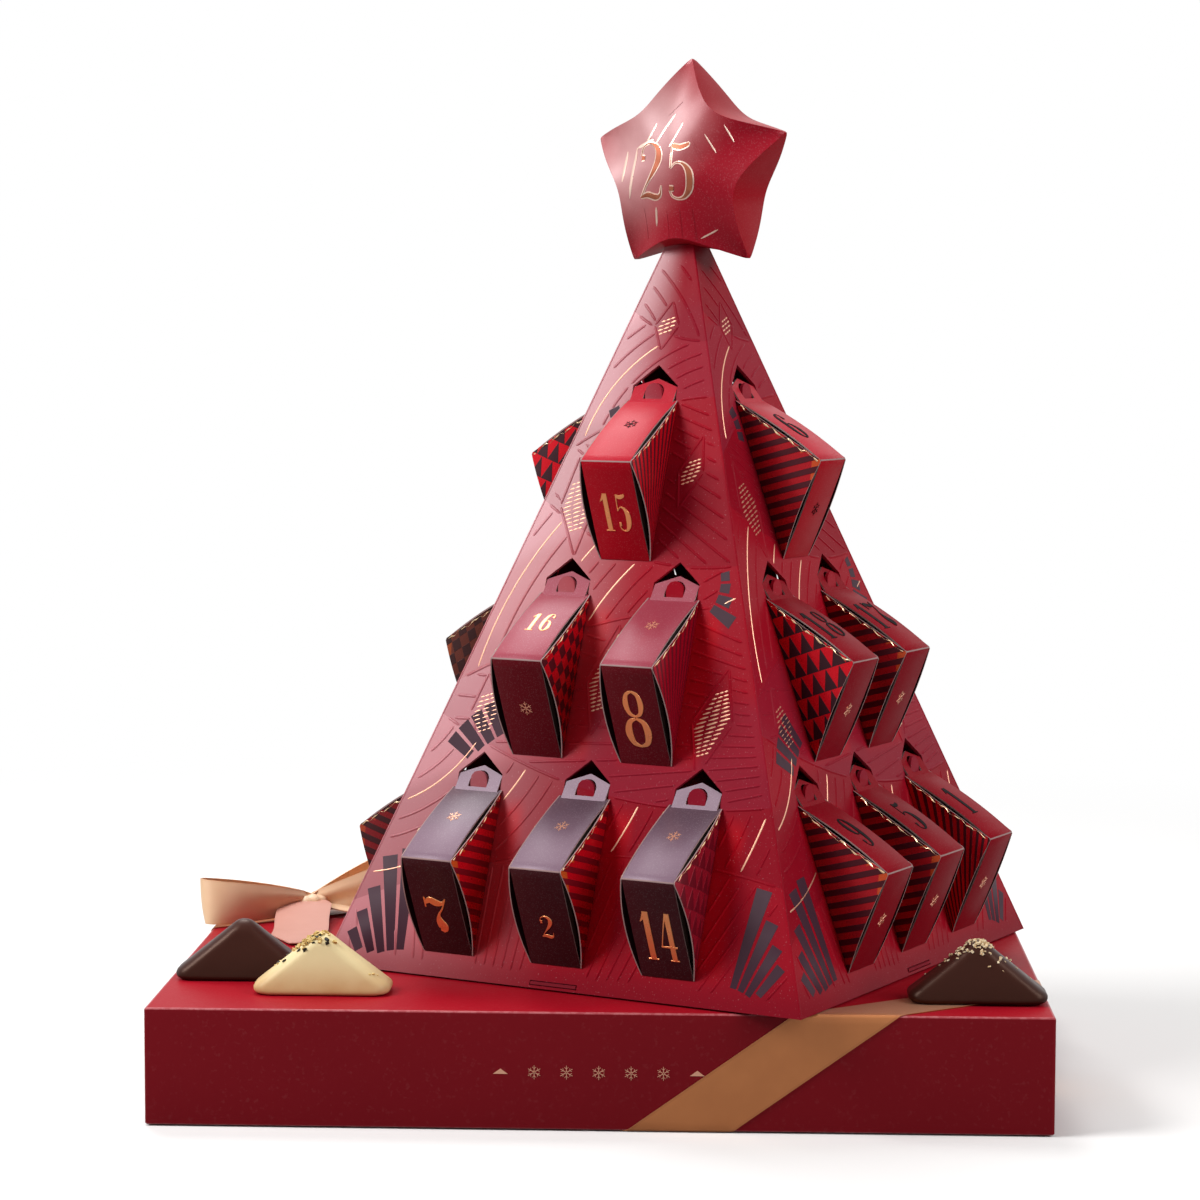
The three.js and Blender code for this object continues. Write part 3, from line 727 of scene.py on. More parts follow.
# %% [markdown]
# ### Print and foil of the tree
# The card is printed in crimson that turns to a dusty rose at the upper left of the
# first face, and foil is stamped on it. The rose is partly print and partly a painted
# sheen where the lamp at the upper left shines on that face. A painted picture could
# carry all that, but a formula stays sharp at any distance and needs no file. The print
# follows the same borders as the relief. Between the boxes of the two lower rows the
# card is painted a brighter red: a painted glow that stands for the red light their foil
# throws on the card. Along its foot the card is painted darker: painted shade where it
# meets the gift box.

# %% The colours of the tree's card
CRIMSON = paint(156, 16, 34)
DEEP_CRIMSON = paint(118, 10, 28)
# partly print and partly painted sheen: the rose of the first face's upper left
ROSE_PRINT_AND_SHEEN = paint(198, 124, 132)
SOFT_MAUVE = paint(140, 36, 56)
PLUM = paint(70, 44, 56)
# painted glow: brighter red for the light the boxes' red foil throws on the card
PAINTED_FOIL_GLOW = paint(196, 6, 22)
WORN_PAINT = paint(226, 190, 196)
COPPER = (0.80, 0.42, 0.28)
PALE_GOLD = (0.95, 0.66, 0.40)
RED_GLOSS = (1.0, 0.52, 0.56)


def card_grain(finish, vector, fine=0.00035, strength=0.25):
    """The bump of card: a fine tooth over a slow unevenness."""
    tooth = finish.noise(fine, vector, 1.0)
    slow = finish.noise(0.009, vector, 2.0)
    return finish.bump(tooth * 0.35 + slow, 0.00012, strength)


# %% Masks of the tree's print
def rose_share(x, y, side, slow):
    """How much of the rose the card takes, partly print and partly painted sheen from the lamp
    at the upper left: most at the upper left of the first face, less towards the right
    and the foot, and nowhere on the other faces."""
    across = x / (HALF_SIDE + 2 - y * (HALF_SIDE / FACE_LENGTH))
    rise = y / FACE_LENGTH * 0.36 - across * 0.85 + (slow - 0.5) * 0.35
    return rise.above(0.5, 1.1) * (1 - side.above(0.5, 0.1))


def over_border(x, y, height, lean, sag):
    """How far a point lies above a border, by the same parabola as border()."""
    return y - height - x * lean + (1 - (x / face_half(height)) ** 2) * sag


def beside_boxes(x, y):
    """1 on the card round each box of the two lower rows, a little more to its right: where the painted
    glow of the foil's red light goes.
    """
    share = 0.0
    for middle, top in BOX_PLACES[:5]:
        across = 1 - (x - middle - 4).math("ABSOLUTE").above(16, 6)
        share = across * (1 - (y - top + 32).math("ABSOLUTE").above(27, 10)) + share
    return share


# %% The tree's paint
BAND_TINTS = (DEEP_CRIMSON, SOFT_MAUVE, CRIMSON, DEEP_CRIMSON, SOFT_MAUVE, DEEP_CRIMSON)
BAND_TALL, BAND_TINT_SHARE = 38, 0.42


def tree_paint():
    """Crimson print, with rose and a clear coat at the upper left of the first face; the rose
    is partly print and partly painted sheen. A tint starts at each border and fades above
    it. Round the lower boxes the card is a brighter red, a painted glow of their foil's
    light; along its foot it is darker, painted shade where it meets the gift box; and it
    is rubbed pale in fine specks."""
    finish = Finish(
        "tree_card_paint", Specular_IOR_Level=0.06, Specular_Tint=RED_GLOSS, Coat_Roughness=0.3
    )
    u, v = finish.flat()
    side = (u + 0.5).math("FLOOR")
    x, y = (u - side) * 1000, v * 1000
    place = finish.place()
    rose_and_sheen = rose_share(x, y, side, finish.noise(0.045, place, 2.0))
    finish.feed("Coat Weight", rose_and_sheen * 0.7)
    # painted sheen in part: the rose stands partly for the lamp's sheen on the first face
    colour = finish.mix(rose_and_sheen, CRIMSON, ROSE_PRINT_AND_SHEEN)
    for border_values, tint in zip(BORDERS, BAND_TINTS):
        over = over_border(x, y, *border_values)
        inside = over.above(0, 0.4) * (1 - over.above(BAND_TALL, 10))
        colour = finish.mix(inside * BAND_TINT_SHARE, colour, tint)
    # painted glow: brighter red round the lower boxes, for the light their foil throws
    colour = finish.mix(beside_boxes(x, y) * 0.6, colour, PAINTED_FOIL_GLOW)
    # painted shade: darker along the foot, where the card meets the gift box
    colour = finish.mix((1 - y.above(9, 20)) * 0.75, colour, DEEP_CRIMSON)
    worn = finish.noise(0.0006, place, 1.0).above(0.72, 0.08)
    finish.feed("Base Color", finish.mix(worn * 0.12, colour, WORN_PAINT))
    finish.feed("Roughness", 0.31 + finish.noise(0.004, place, 2.0) * 0.12)
    finish.feed("Normal", card_grain(finish, place))
    return finish


# %% Foil and plain card
def foil(name, colour, roughness, metallic=1.0):
    """Hot-stamped metal foil: it takes the card's tooth and is rubbed a little duller."""
    finish = Finish(name, Metallic=metallic, Specular_IOR_Level=0.3)
    place = finish.place()
    rubbed = finish.noise(0.0025, place, 3.0)
    finish.feed("Base Color", finish.mix(rubbed * 0.35, colour, darker(colour, 0.62)))
    finish.feed("Roughness", rubbed * 0.16 + (roughness - 0.08))
    finish.feed("Normal", card_grain(finish, place, 0.0005, 0.15))
    return finish


def plain_card(name, colour, roughness, shine=0.25):
    """Printed card of one colour, with a cloudy tone and the card's tooth."""
    finish = Finish(name, Specular_IOR_Level=shine)
    place = finish.place()
    cloudy = finish.noise(0.006, place, 3.0)
    finish.feed("Base Color", finish.mix(cloudy * 0.5, colour, darker(colour, 0.72)))
    finish.feed("Roughness", cloudy * 0.14 + (roughness - 0.07))
    finish.feed("Normal", card_grain(finish, place))
    return finish


TREE_PAINT = tree_paint()
PLUM_PRINT = plain_card("plum_print", PLUM, 0.4, 0.08)
COPPER_FOIL = foil("copper_foil", COPPER, 0.4, 0.7)
GOLD_FOIL = foil("pale_gold_foil", PALE_GOLD, 0.2)
print("finishes:", len(bpy.data.materials))

# %% [markdown]
# ### The card as one piece
#
# The modelled shell already has the windows, the tongues and the slots, so its points are
# kept, and relief and print are laid on it. Its four folds are razor sharp, where folded
# card is round, so a thin rod lies along each. The paint has to know how far up a face a
# point is and on which face it lies, and the UV map says both.


# %% Where a point of the card lies on its face
def tree_flats(mesh):
    """Gives each corner its face's coordinates, in metres, plus one metre across for each
    face further round, so that a finish can tell the faces apart."""
    points = np.empty(len(mesh.vertices) * 3)
    mesh.vertices.foreach_get("co", points)
    points = points.reshape(-1, 3) / MM
    centres = np.empty(len(mesh.polygons) * 3)
    mesh.polygons.foreach_get("center", centres)
    centres = centres.reshape(-1, 3) / MM - TREE_CENTRE
    azimuth = np.arctan2(centres[:, 1], centres[:, 0]) + math.pi / 2 - TREE_TURN
    side = np.round(azimuth / (math.pi / 2)).astype(int) % 4
    totals = np.empty(len(mesh.polygons), np.int32)
    mesh.polygons.foreach_get("loop_total", totals)
    side = np.repeat(side, totals)
    corners = np.empty(len(mesh.loops), np.int32)
    mesh.loops.foreach_get("vertex_index", corners)
    flat = np.empty((len(corners), 2))
    for face in range(4):
        mine = side == face
        local = (points[corners[mine]] - on_face(face, [0, 0, 0])) @ face_axes(face)
        flat[mine] = local[:, :2] * MM + [face, 0]
    mesh.uv_layers["flat"].data.foreach_set("uv", flat.astype(np.float32).ravel())


def merged_points(node):
    """The points, in millimetres, and the faces of a node, with doubled points merged."""
    merged = bmesh.new()
    merged.from_mesh(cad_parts[node].data)
    bmesh.ops.remove_doubles(merged, verts=merged.verts, dist=1e-6)
    merged.verts.index_update()
    points = np.array([vertex.co for vertex in merged.verts]) / MM
    faces = [[vertex.index for vertex in face.verts] for face in merged.faces]
    merged.free()
    return points, faces


# %% The rounded folds
BEAD_FOOT, BEAD_RADIUS, BEAD_DEPTH = 0.6, 0.55, 0.62


def fold_bead(face):
    """The rounded fold between a face and the next: a thin rod just under the edge."""
    low = on_face(face, [face_half(BEAD_FOOT), BEAD_FOOT, 0])
    top = FACE_LENGTH * TIP_HEIGHT / TREE_HEIGHT
    high = on_face(face, [face_half(top), top, 0])
    towards = unit(TREE_CENTRE * [1, 1, 0] + [0, 0, 1] * low - low)
    path = np.stack([low, high]) + towards * BEAD_DEPTH
    along = unit(high - low)
    beside = unit(np.cross(along, towards))
    turn = np.linspace(0, 2 * math.pi, 12, endpoint=False)
    ring = BEAD_RADIUS * np.stack([np.cos(turn), np.sin(turn)], 1)
    points = carried(path, beside, np.cross(beside, along), ring)
    return points.reshape(-1, 3), capped(2, len(ring))


# %% The tree's card
PAINTED, PLUM_BLOCK, STAMPED = range(3)


def make_tree():
    """The modelled shell with its relief, foil, blocks and folds, on all four faces."""
    skin = Skin()
    points, faces = merged_points("tree_shell")
    skin.add(points, faces, PAINTED)
    (lines, foil_lines), bars, patches = ridge_lines(), hatch_lines(), block_patches()
    lines = [part for line in lines for part in runs_where(line, ~in_patches(line, patches))]
    relief = (
        # lines, half width, height, distance between points, finish
        (lines, 0.62, 0.26, 4.0, PAINTED),
        (foil_lines, 0.36, 0.13, 4.0, STAMPED),
        (bars, 0.4, 0.12, 40, STAMPED),
    )
    flat_parts = [(ridge(line, *size), finish) for group, *size, finish in relief for line in group]
    flat_parts += [(patch(corners), PLUM_BLOCK) for corners in patches]
    for face in range(4):
        for (points, faces), finish in flat_parts:
            skin.add(on_face(face, points), faces, finish)
        skin.add(*fold_bead(face), PAINTED)
    tree = skin.piece("tree_card", "tree", [TREE_PAINT, PLUM_PRINT, COPPER_FOIL], sharp=50)
    tree_flats(tree.data)
    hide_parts("tree_shell")
    print("tree card:", len(lines), "lines,", len(bars), "hatch bars")
    print("faces:", len(tree.data.polygons))


make_tree()

# %% [markdown]
# ## The praline box
#
# One folded blank makes a box: a back against the face, a front panel and a top panel
# that meet in a crease, a tab with a hole that hangs on the face's tongue, and two side
# walls. The walls are a little too wide for their place, so they bow outwards and leave
# dark gaps beside the straight panels. A bevelled wedge would be quicker to make, but it
# would have neither gaps nor cut edges. So the outer skin of each part is a function of
# two parameters, and its inner skin lies one card's thickness behind it.

# %% Sizes of a box, in the coordinates of a face from the box's upper end
CARD_BACK = 60.3
CARD_REACH = 26.2
CREASE_DROP = 31.2
SEAT = 0.3
CARD = 0.6
WALL_CARD = 0.45
PANEL_HALF = 10.0
WALL_HALF = 10.4
WALL_BOW_LOW, WALL_BOW_HIGH = 2.6, 1.0
FRONT_BULGE = 0.3
TOP_BULGE = 1.2
LOW_END = np.array([-CARD_BACK, SEAT])
CREASE = np.array([-CREASE_DROP, CARD_REACH])
TOP_END = np.array([0.0, SEAT])
PANELS = {"front": (LOW_END, CREASE, FRONT_BULGE), "top": (CREASE, TOP_END, TOP_BULGE)}


def panel_points(panel, across, along, lift=0.0):
    """Points on a panel. The panel is a straight line from its low to its high end that
    bulges outwards as a parabola; lift is the height above that."""
    low, high, bulge = PANELS[panel]
    length = np.linalg.norm(high - low)
    up = (high - low) / length
    out = np.array([-up[1], up[0]])
    across, along, lift = np.broadcast_arrays(across, along, lift)
    share = along / length
    off = bulge * 4 * share * (1 - share) + lift
    side_view = low + along[..., None] * up + off[..., None] * out
    return np.concatenate([across[..., None].astype(float), side_view], -1)


def panel_length(panel):
    """The straight length of a panel."""
    low, high, _ = PANELS[panel]
    return float(np.linalg.norm(high - low))


# %% The folded strip of back, front and top panel
FRONT, TOP, EDGE, INSIDE, WALL, CREASE_GOLD, NUMBER, EMBLEM = range(8)
CREASE_ROUND = 0.34
CORNER_SHARE, CORNER_WIDTH = 0.16, 0.25


def folded_strip():
    """The grid of the strip: 6 points across (outer skin, then inner) at each step round
    the triangle; the finish of each face; and its flat coordinates."""
    front = np.linspace(0.0, panel_length("front") - CREASE_ROUND, 12)
    top = np.linspace(CREASE_ROUND, panel_length("top"), 14)
    back = np.linspace(0.12, 0.88, 4)
    outer, inner, run = [], [], []
    for panel, steps, far_end in (("front", front, 0.4), ("top", top, 2.6)):
        ends = np.clip(steps, CARD * 2.6, panel_length(panel) - CARD * far_end)
        outer.append(panel_points(panel, 0.0, steps)[:, 1:])
        inner.append(panel_points(panel, 0.0, ends, -CARD)[:, 1:])
        run.append(steps + (0 if panel == "front" else panel_length("front")))
    back_line = TOP_END + (LOW_END - TOP_END) * back[:, None]
    outer.append(back_line)
    inner.append(back_line + [0, CARD])
    run.append(-back * CARD_BACK)
    outer, inner, run = np.concatenate(outer), np.concatenate(inner), np.concatenate(run)
    softened = outer + (inner - outer) * CORNER_SHARE
    flat_half = PANEL_HALF - CORNER_WIDTH
    columns = (
        (-PANEL_HALF, softened), (-flat_half, outer), (flat_half, outer),
        (PANEL_HALF, softened), (PANEL_HALF, inner), (-PANEL_HALF, inner),
    )
    grid = np.stack([np.column_stack([np.full(len(view), x), view]) for x, view in columns], 1)
    skin_of_row = np.array([FRONT] * len(front) + [TOP] * len(top) + [FRONT] * len(back))
    skin_of_row[len(front) - 1] = EDGE
    finishes = np.stack([skin_of_row] * 3 + [np.full(len(run), k) for k in (EDGE, INSIDE, EDGE)], 1)
    across = np.array([x for x, _ in columns])
    flat = np.stack(np.broadcast_arrays(across[None, :], run[:, None]), -1)
    faces = grid_faces(len(run), len(columns), True, True)
    return grid.reshape(-1, 3), faces, finishes.ravel(), flat


# %% The bowed walls
WALL_END = 0.985


def wall_half(share, t):
    """Half the box's width from the back (0) to the crease (1), on the front panel's side
    (t is 0) or the top panel's (t is 1): a bow, widest half way and wider at the front."""
    bow = WALL_BOW_LOW * (1 - t) + WALL_BOW_HIGH * t
    return WALL_HALF + bow * 4 * share * (1 - share)


def bowed_wall(side):
    """A wall between the low line and the top line of the triangle, as a closed sheet."""
    rows, columns = 18, 9
    share = np.linspace(0, WALL_END, rows)[:, None]
    t = np.linspace(0, 1, columns)[None, :]
    z = SEAT + (CARD_REACH - SEAT) * share
    low = -CARD_BACK + (CARD_BACK - CREASE_DROP) * share
    high = -CREASE_DROP * share
    y = low + (high - low) * t
    z = np.broadcast_to(z, y.shape)
    half = wall_half(share, t)
    outer = np.stack([side * half, y, z], -1)
    inner = np.stack([side * (half - WALL_CARD), y, z], -1)[:, ::-1]
    grid = np.concatenate([outer, inner], 1)
    flat = grid[..., [2, 1]]
    band = [WALL] * (columns - 1) + [EDGE] + [INSIDE] * (columns - 1) + [EDGE]
    finishes = np.array(band * (rows - 1) + [EDGE, EDGE])
    return grid.reshape(-1, 3), capped(rows, 2 * columns), finishes, flat


# %% The crinkled gold fold
def crinkled_fold(side, phase):
    """A thin rod along the wall's upper edge. Sums of two sine waves make it wander and
    swell, so that only short dashes of it shine, like creased foil."""
    share = np.linspace(0.05, 0.95, 64)
    wander = 0.32 * np.sin(share * 31 + phase) + 0.2 * np.sin(share * 67 + 2.3 * phase)
    wave = np.sin(share * 43 + 1.7 * phase) + 0.35 * np.sin(share * 19 + phase)
    swell = 0.07 + 0.3 * np.clip(wave, 0, 1) ** 0.6
    path = np.stack([
        side * (wall_half(share, 0.95) + 0.05),
        -CREASE_DROP * share - 1.1 + wander,
        SEAT + (CARD_REACH - SEAT) * share + 0.3 * wander,
    ], 1)
    turn = np.linspace(0, 2 * math.pi, 6, endpoint=False)
    ring = np.stack([np.cos(turn), np.sin(turn)], 1) * swell[:, None, None]
    along = unit(np.gradient(path, axis=0))
    beside = unit(np.cross(along, [side, 0.0, 0.0]))
    points = carried(path, beside, np.cross(beside, along), ring)
    return points.reshape(-1, 3), capped(len(path), 6)


# %% The tab with its arched hole
TAB_HALF = 8.9
TAB_CREASE = -1.5
TAB_SHOULDER = 5.4
TAB_TOP = 9.0
TAB_TILT = 0.3
HOLE_HALF = 3.9
HOLE_BOTTOM = 0.4
HOLE_TOP = 6.9
TAB_MIDDLE = np.array([0.0, 3.4])


def cross(a, b):
    """The cross product of plane vectors."""
    return a[..., 0] * b[..., 1] - a[..., 1] * b[..., 0]


def outline_reach(angles, corners):
    """How far each ray from the origin goes until it meets the closed outline."""
    ray = np.stack([np.cos(angles), np.sin(angles)], 1)[:, None]
    side = np.roll(corners, -1, 0) - corners
    across = cross(ray, side)
    across = np.where(np.abs(across) < 1e-9, 1e-9, across)
    reach, share = cross(corners, side) / across, cross(corners, ray) / across
    met = (share > -1e-6) & (share < 1 + 1e-6) & (reach > 0)
    return np.where(met, reach, np.inf).min(1)


def tab():
    """The ring of card between the house-shaped outline and the hole."""
    house = np.array([
        [-TAB_HALF, TAB_CREASE], [TAB_HALF, TAB_CREASE], [TAB_HALF, TAB_SHOULDER],
        [0, TAB_TOP], [-TAB_HALF, TAB_SHOULDER],
    ]) - TAB_MIDDLE
    bend = np.linspace(0, math.pi, 13)
    arch_middle = HOLE_TOP - HOLE_HALF
    arch = np.column_stack([HOLE_HALF * np.cos(bend), arch_middle + HOLE_HALF * np.sin(bend)])
    hole = np.vstack([arch, [-HOLE_HALF, HOLE_BOTTOM], [HOLE_HALF, HOLE_BOTTOM]]) - TAB_MIDDLE
    corners = np.arctan2(house[:, 1], house[:, 0])
    angles = np.unique(np.concatenate([np.linspace(-math.pi, math.pi, 64, endpoint=False), corners]))
    ray = np.stack([np.cos(angles), np.sin(angles)], 1)
    outer = TAB_MIDDLE + ray * outline_reach(angles, house)[:, None]
    inner = TAB_MIDDLE + ray * outline_reach(angles, hole)[:, None]
    front_z = SEAT - TAB_CREASE * (CARD_REACH - SEAT) / CREASE_DROP

    def at(outline, depth):
        height = front_z - depth - TAB_TILT * (outline[:, 1] - TAB_CREASE)
        return np.column_stack([outline, height])

    rings = [at(outer, 0), at(inner, 0), at(inner, CARD), at(outer, CARD)]
    grid = np.stack(rings, 1)
    finishes = np.tile([TOP, EDGE, INSIDE, EDGE], len(angles))
    return grid.reshape(-1, 3), grid_faces(len(angles), 4, True, True), finishes


# %% [markdown]
# ## Numbers
#
# The numbers are stamped in foil, in figures of strong contrast between thick and thin.
# A text object would need a font of that kind. So each figure is a few strokes of a broad
# pen: a smooth line through a few points, with a width at each point. The points lie in
# a frame that is 1 high.

# %% Strokes of the figures
MID_FIGURE = 0.27
FIGURE_STEP = 0.6


def oval(y, wide, tall, thick):
    """Two strokes that make a ring: thin above and below, thick at the sides."""
    shape = [(0.0, 1.0), (0.72, 0.72), (1.0, 0.0), (0.72, -0.72), (0.0, -1.0)]
    half = [(wide * across, tall * up) for across, up in shape]
    widths = [0.04, 0.7 * thick, thick, 0.7 * thick, 0.04]
    return [([(MID_FIGURE + side * across, y + up) for across, up in half], widths) for side in (-1, 1)]


FIGURES = {
    "0": oval(0.5, 0.2, 0.48, 0.15),
    "1": [([(0.27, 0.02), (0.27, 0.5), (0.27, 0.985)], [0.16, 0.16, 0.16]),
          ([(0.1, 0.015), (0.44, 0.015)], [0.04, 0.04]),
          ([(0.07, 0.78), (0.15, 0.85), (0.22, 0.97)], [0.03, 0.07, 0.06])],
    "2": [([(0.07, 0.76), (0.12, 0.92), (0.27, 0.985), (0.42, 0.9), (0.45, 0.72), (0.35, 0.5),
            (0.19, 0.27), (0.06, 0.05)], [0.04, 0.04, 0.06, 0.13, 0.17, 0.12, 0.05, 0.04]),
          ([(0.08, 0.73), (0.15, 0.73)], [0.14, 0.12]),
          ([(0.05, 0.05), (0.2, 0.09), (0.36, 0.05), (0.46, 0.09), (0.5, 0.25)],
           [0.06, 0.13, 0.14, 0.08, 0.02])],
    "3": [([(0.08, 0.82), (0.14, 0.94), (0.27, 0.985), (0.4, 0.88), (0.4, 0.67), (0.3, 0.54),
            (0.18, 0.52)], [0.03, 0.04, 0.05, 0.13, 0.13, 0.06, 0.03]),
          ([(0.2, 0.525), (0.34, 0.5), (0.45, 0.33), (0.42, 0.12), (0.27, 0.015), (0.12, 0.06),
            (0.07, 0.18)], [0.03, 0.07, 0.17, 0.15, 0.05, 0.04, 0.03]),
          ([(0.08, 0.8), (0.16, 0.8)], [0.14, 0.12]), ([(0.07, 0.2), (0.15, 0.2)], [0.14, 0.12])],
    "4": [([(0.38, 0.02), (0.38, 0.5), (0.38, 0.98)], [0.14, 0.14, 0.14]),
          ([(0.33, 0.97), (0.18, 0.64), (0.04, 0.3)], [0.05, 0.04, 0.04]),
          ([(0.02, 0.29), (0.54, 0.29)], [0.05, 0.05]),
          ([(0.24, 0.015), (0.52, 0.015)], [0.04, 0.04])],
    "5": [([(0.12, 0.93), (0.26, 0.9), (0.4, 0.94), (0.44, 0.99)], [0.12, 0.13, 0.11, 0.02]),
          ([(0.12, 0.97), (0.1, 0.54)], [0.04, 0.04]),
          ([(0.1, 0.54), (0.2, 0.63), (0.34, 0.61), (0.45, 0.46), (0.45, 0.22), (0.36, 0.06),
            (0.24, 0.015), (0.12, 0.06), (0.07, 0.16)],
           [0.03, 0.04, 0.08, 0.16, 0.17, 0.1, 0.05, 0.04, 0.03]),
          ([(0.07, 0.19), (0.15, 0.19)], [0.14, 0.12])],
    "6": [([(0.44, 0.84), (0.38, 0.95), (0.27, 0.985), (0.14, 0.85), (0.1, 0.5), (0.13, 0.17),
            (0.27, 0.015), (0.4, 0.1), (0.44, 0.31), (0.38, 0.51), (0.27, 0.58), (0.16, 0.52),
            (0.12, 0.42)],
           [0.03, 0.04, 0.05, 0.13, 0.17, 0.13, 0.05, 0.11, 0.15, 0.1, 0.04, 0.03, 0.03]),
          ([(0.37, 0.82), (0.45, 0.82)], [0.12, 0.13])],
    "7": [([(0.03, 1.0), (0.03, 0.72)], [0.04, 0.04]),
          ([(0.03, 0.82), (0.14, 0.92), (0.28, 0.86), (0.42, 0.86), (0.5, 0.99)],
           [0.05, 0.15, 0.17, 0.09, 0.03]),
          ([(0.49, 0.95), (0.4, 0.72), (0.29, 0.52), (0.28, 0.33), (0.33, 0.16), (0.29, 0.04)],
           [0.03, 0.04, 0.07, 0.19, 0.24, 0.1])],
    "8": oval(0.76, 0.13, 0.22, 0.1) + oval(0.265, 0.165, 0.245, 0.13),
}
FIGURES["9"] = [([(0.54 - x, 1 - y) for x, y in points], widths) for points, widths in FIGURES["6"]]


# %% Numbers and snow crystals as strokes
def written(number, height, wide=1.0):
    """The strokes of a number of that height, as (points, widths), centred on the origin.
    Below 1, wide makes the figures narrower."""
    strokes = []
    figures = str(number)
    for place, figure in enumerate(figures):
        shift = (place - (len(figures) - 1) / 2) * FIGURE_STEP - MID_FIGURE
        for points, widths in FIGURES[figure]:
            line = smooth_line(np.column_stack([points, widths]), 6 * len(points))
            points = (line[:, :2] + [shift, -0.5]) * [wide * height, height]
            strokes.append((points, line[:, 2] * height * (0.4 + 0.6 * wide)))
    return strokes


def crystal(size):
    """A plain snow crystal: six arms, each with one pair of side branches."""
    strokes = []
    for k in range(6):
        angle = math.pi / 6 + k * math.pi / 3
        arm = np.array([math.cos(angle), math.sin(angle)])
        strokes.append((np.array([arm * 0.08, arm]) * size, np.array([0.15, 0.1]) * size))
        for turn in (-1, 1):
            twig = np.array([math.cos(angle + turn * 0.9), math.sin(angle + turn * 0.9)])
            ends = np.array([arm * 0.52, arm * 0.52 + twig * 0.36])
            strokes.append((ends * size, np.array([0.1, 0.08]) * size))
    return strokes


# %% A stroke as a plate
STROKE_SINK = -0.08


def stamped(line, widths, rise, order):
    """A stroke as a low plate with slanted sides: points are across, up and off the
    surface. Strokes of one figure differ a hair in height, so none lie in one plane."""
    along = unit(np.gradient(line, axis=0))
    across = np.stack([along[:, 1], -along[:, 0]], 1)
    edge = np.minimum(0.12, widths * 0.22)
    half = widths / 2
    sides = np.stack([-half, edge - half, half - edge, half], 1)
    flat = line[:, None] + sides[..., None] * across[:, None]
    top = rise + 0.004 * order
    lift = np.broadcast_to([STROKE_SINK, top, top, STROKE_SINK], flat.shape[:2])
    return np.concatenate([flat, lift[..., None]], -1), capped(len(line), 4)


print("figures:", len(FIGURES), "strokes:", sum(len(strokes) for strokes in FIGURES.values()))

# %% [markdown]
# ## Finishes of the boxes
#
# The panels are card with a pearly print, so a fine pale speckle sits on the colour. The
# walls are lined with red foil and printed with simple repeats: bars, triangles, rays and
# lozenges, darker where the print lies. Full mirror foil would show the white room more
# than its own red, so the walls are only part metal. The repeats are made of a saw tooth
# and a zigzag, which a formula gives for any size.


# %% Pearly paint
TAB_SHADE_MIDDLE, TAB_SHADE_LENGTH = 62, 30


def panel_paint(name, colour, shine, gloss=RED_GLOSS, speckle=0.1, tab_shade=0.0):
    """Pearly printed card: a colour, a slow cloud and a fine pale speckle. The colour may
    turn darker towards the tab: painted shade, not print."""
    finish = Finish(name, Specular_IOR_Level=shine, Specular_Tint=gloss)
    place = finish.place()
    cloud = finish.noise(0.008, place, 2.0)
    speck = finish.noise(0.00042, place, 0.0).above(0.66, 0.1)
    pearl = tuple(c * 0.7 + 0.2 for c in colour)
    tinted = finish.mix(cloud * 0.6, colour, darker(colour, 0.8))
    if tab_shade:
        # painted shade: the top panel turns darker towards the tab
        run = finish.flat()[1] * 1000
        tinted = finish.mix(run.above(TAB_SHADE_MIDDLE, TAB_SHADE_LENGTH) * tab_shade, tinted, darker(colour, 0.3))
    finish.feed("Base Color", finish.mix(speck * speckle, tinted, pearl))
    finish.feed("Roughness", cloud * 0.1 + 0.3)
    finish.feed("Normal", card_grain(finish, place, 0.0004, 0.2))
    return finish


# %% Foil walls with a print
def repeat(value, period):
    """A saw tooth from 0 to 1."""
    return (value / period).math("FRACT")


def fold(value, period):
    """A zigzag between 0 and 1."""
    return (repeat(value, period) * 2 - 1).math("ABSOLUTE")


def wall_pattern(kind, x, y):
    """The print on a wall, 1 where it is dark. x runs off the face and y up the slope.
    Rays are upright lines that spread with y."""
    if kind == "bars":
        return repeat(y + x * 0.08, 4.4).above(0.52, 0.05)
    if kind == "triangles":
        return (fold(x, 5.2) - repeat(y, 7.6)).above(0, 0.06)
    if kind == "lozenges":
        return (fold(x, 5.0) + fold(y, 6.2)).above(1.02, 0.06)
    spread = x / (y + 86) * 60
    return repeat(spread, 2.6).above(0.56, 0.06)


BRONZE = paint(206, 96, 34)


def wall_foil(name, kind, bright, dark, bronze):
    """Foil under a dark print, turning bronze in blocks towards the crease."""
    finish = Finish("wall_" + name, Specular_IOR_Level=0.3, Specular_Tint=RED_GLOSS)
    u, v = finish.flat()
    x, y = u * 1000, v * 1000
    print_mask = wall_pattern(kind, x, y)
    place = finish.place()
    rubbed = finish.noise(0.003, place, 2.0)
    metal = finish.mix(rubbed * 0.5, bright, darker(bright, 0.6))
    if bronze:
        block = (x - repeat(y, 13.2) * 5).above(19.5, 0.5)
        metal = finish.mix(block * bronze, metal, BRONZE)
    finish.feed("Base Color", finish.mix(print_mask, metal, dark))
    finish.feed("Metallic", 0.3 - print_mask * 0.2)
    finish.feed("Roughness", rubbed * 0.12 + 0.22 + print_mask * 0.12)
    finish.feed("Normal", finish.bump(print_mask + finish.noise(0.012, place, 1.0) * 3, 0.00015, 0.6))
    return finish


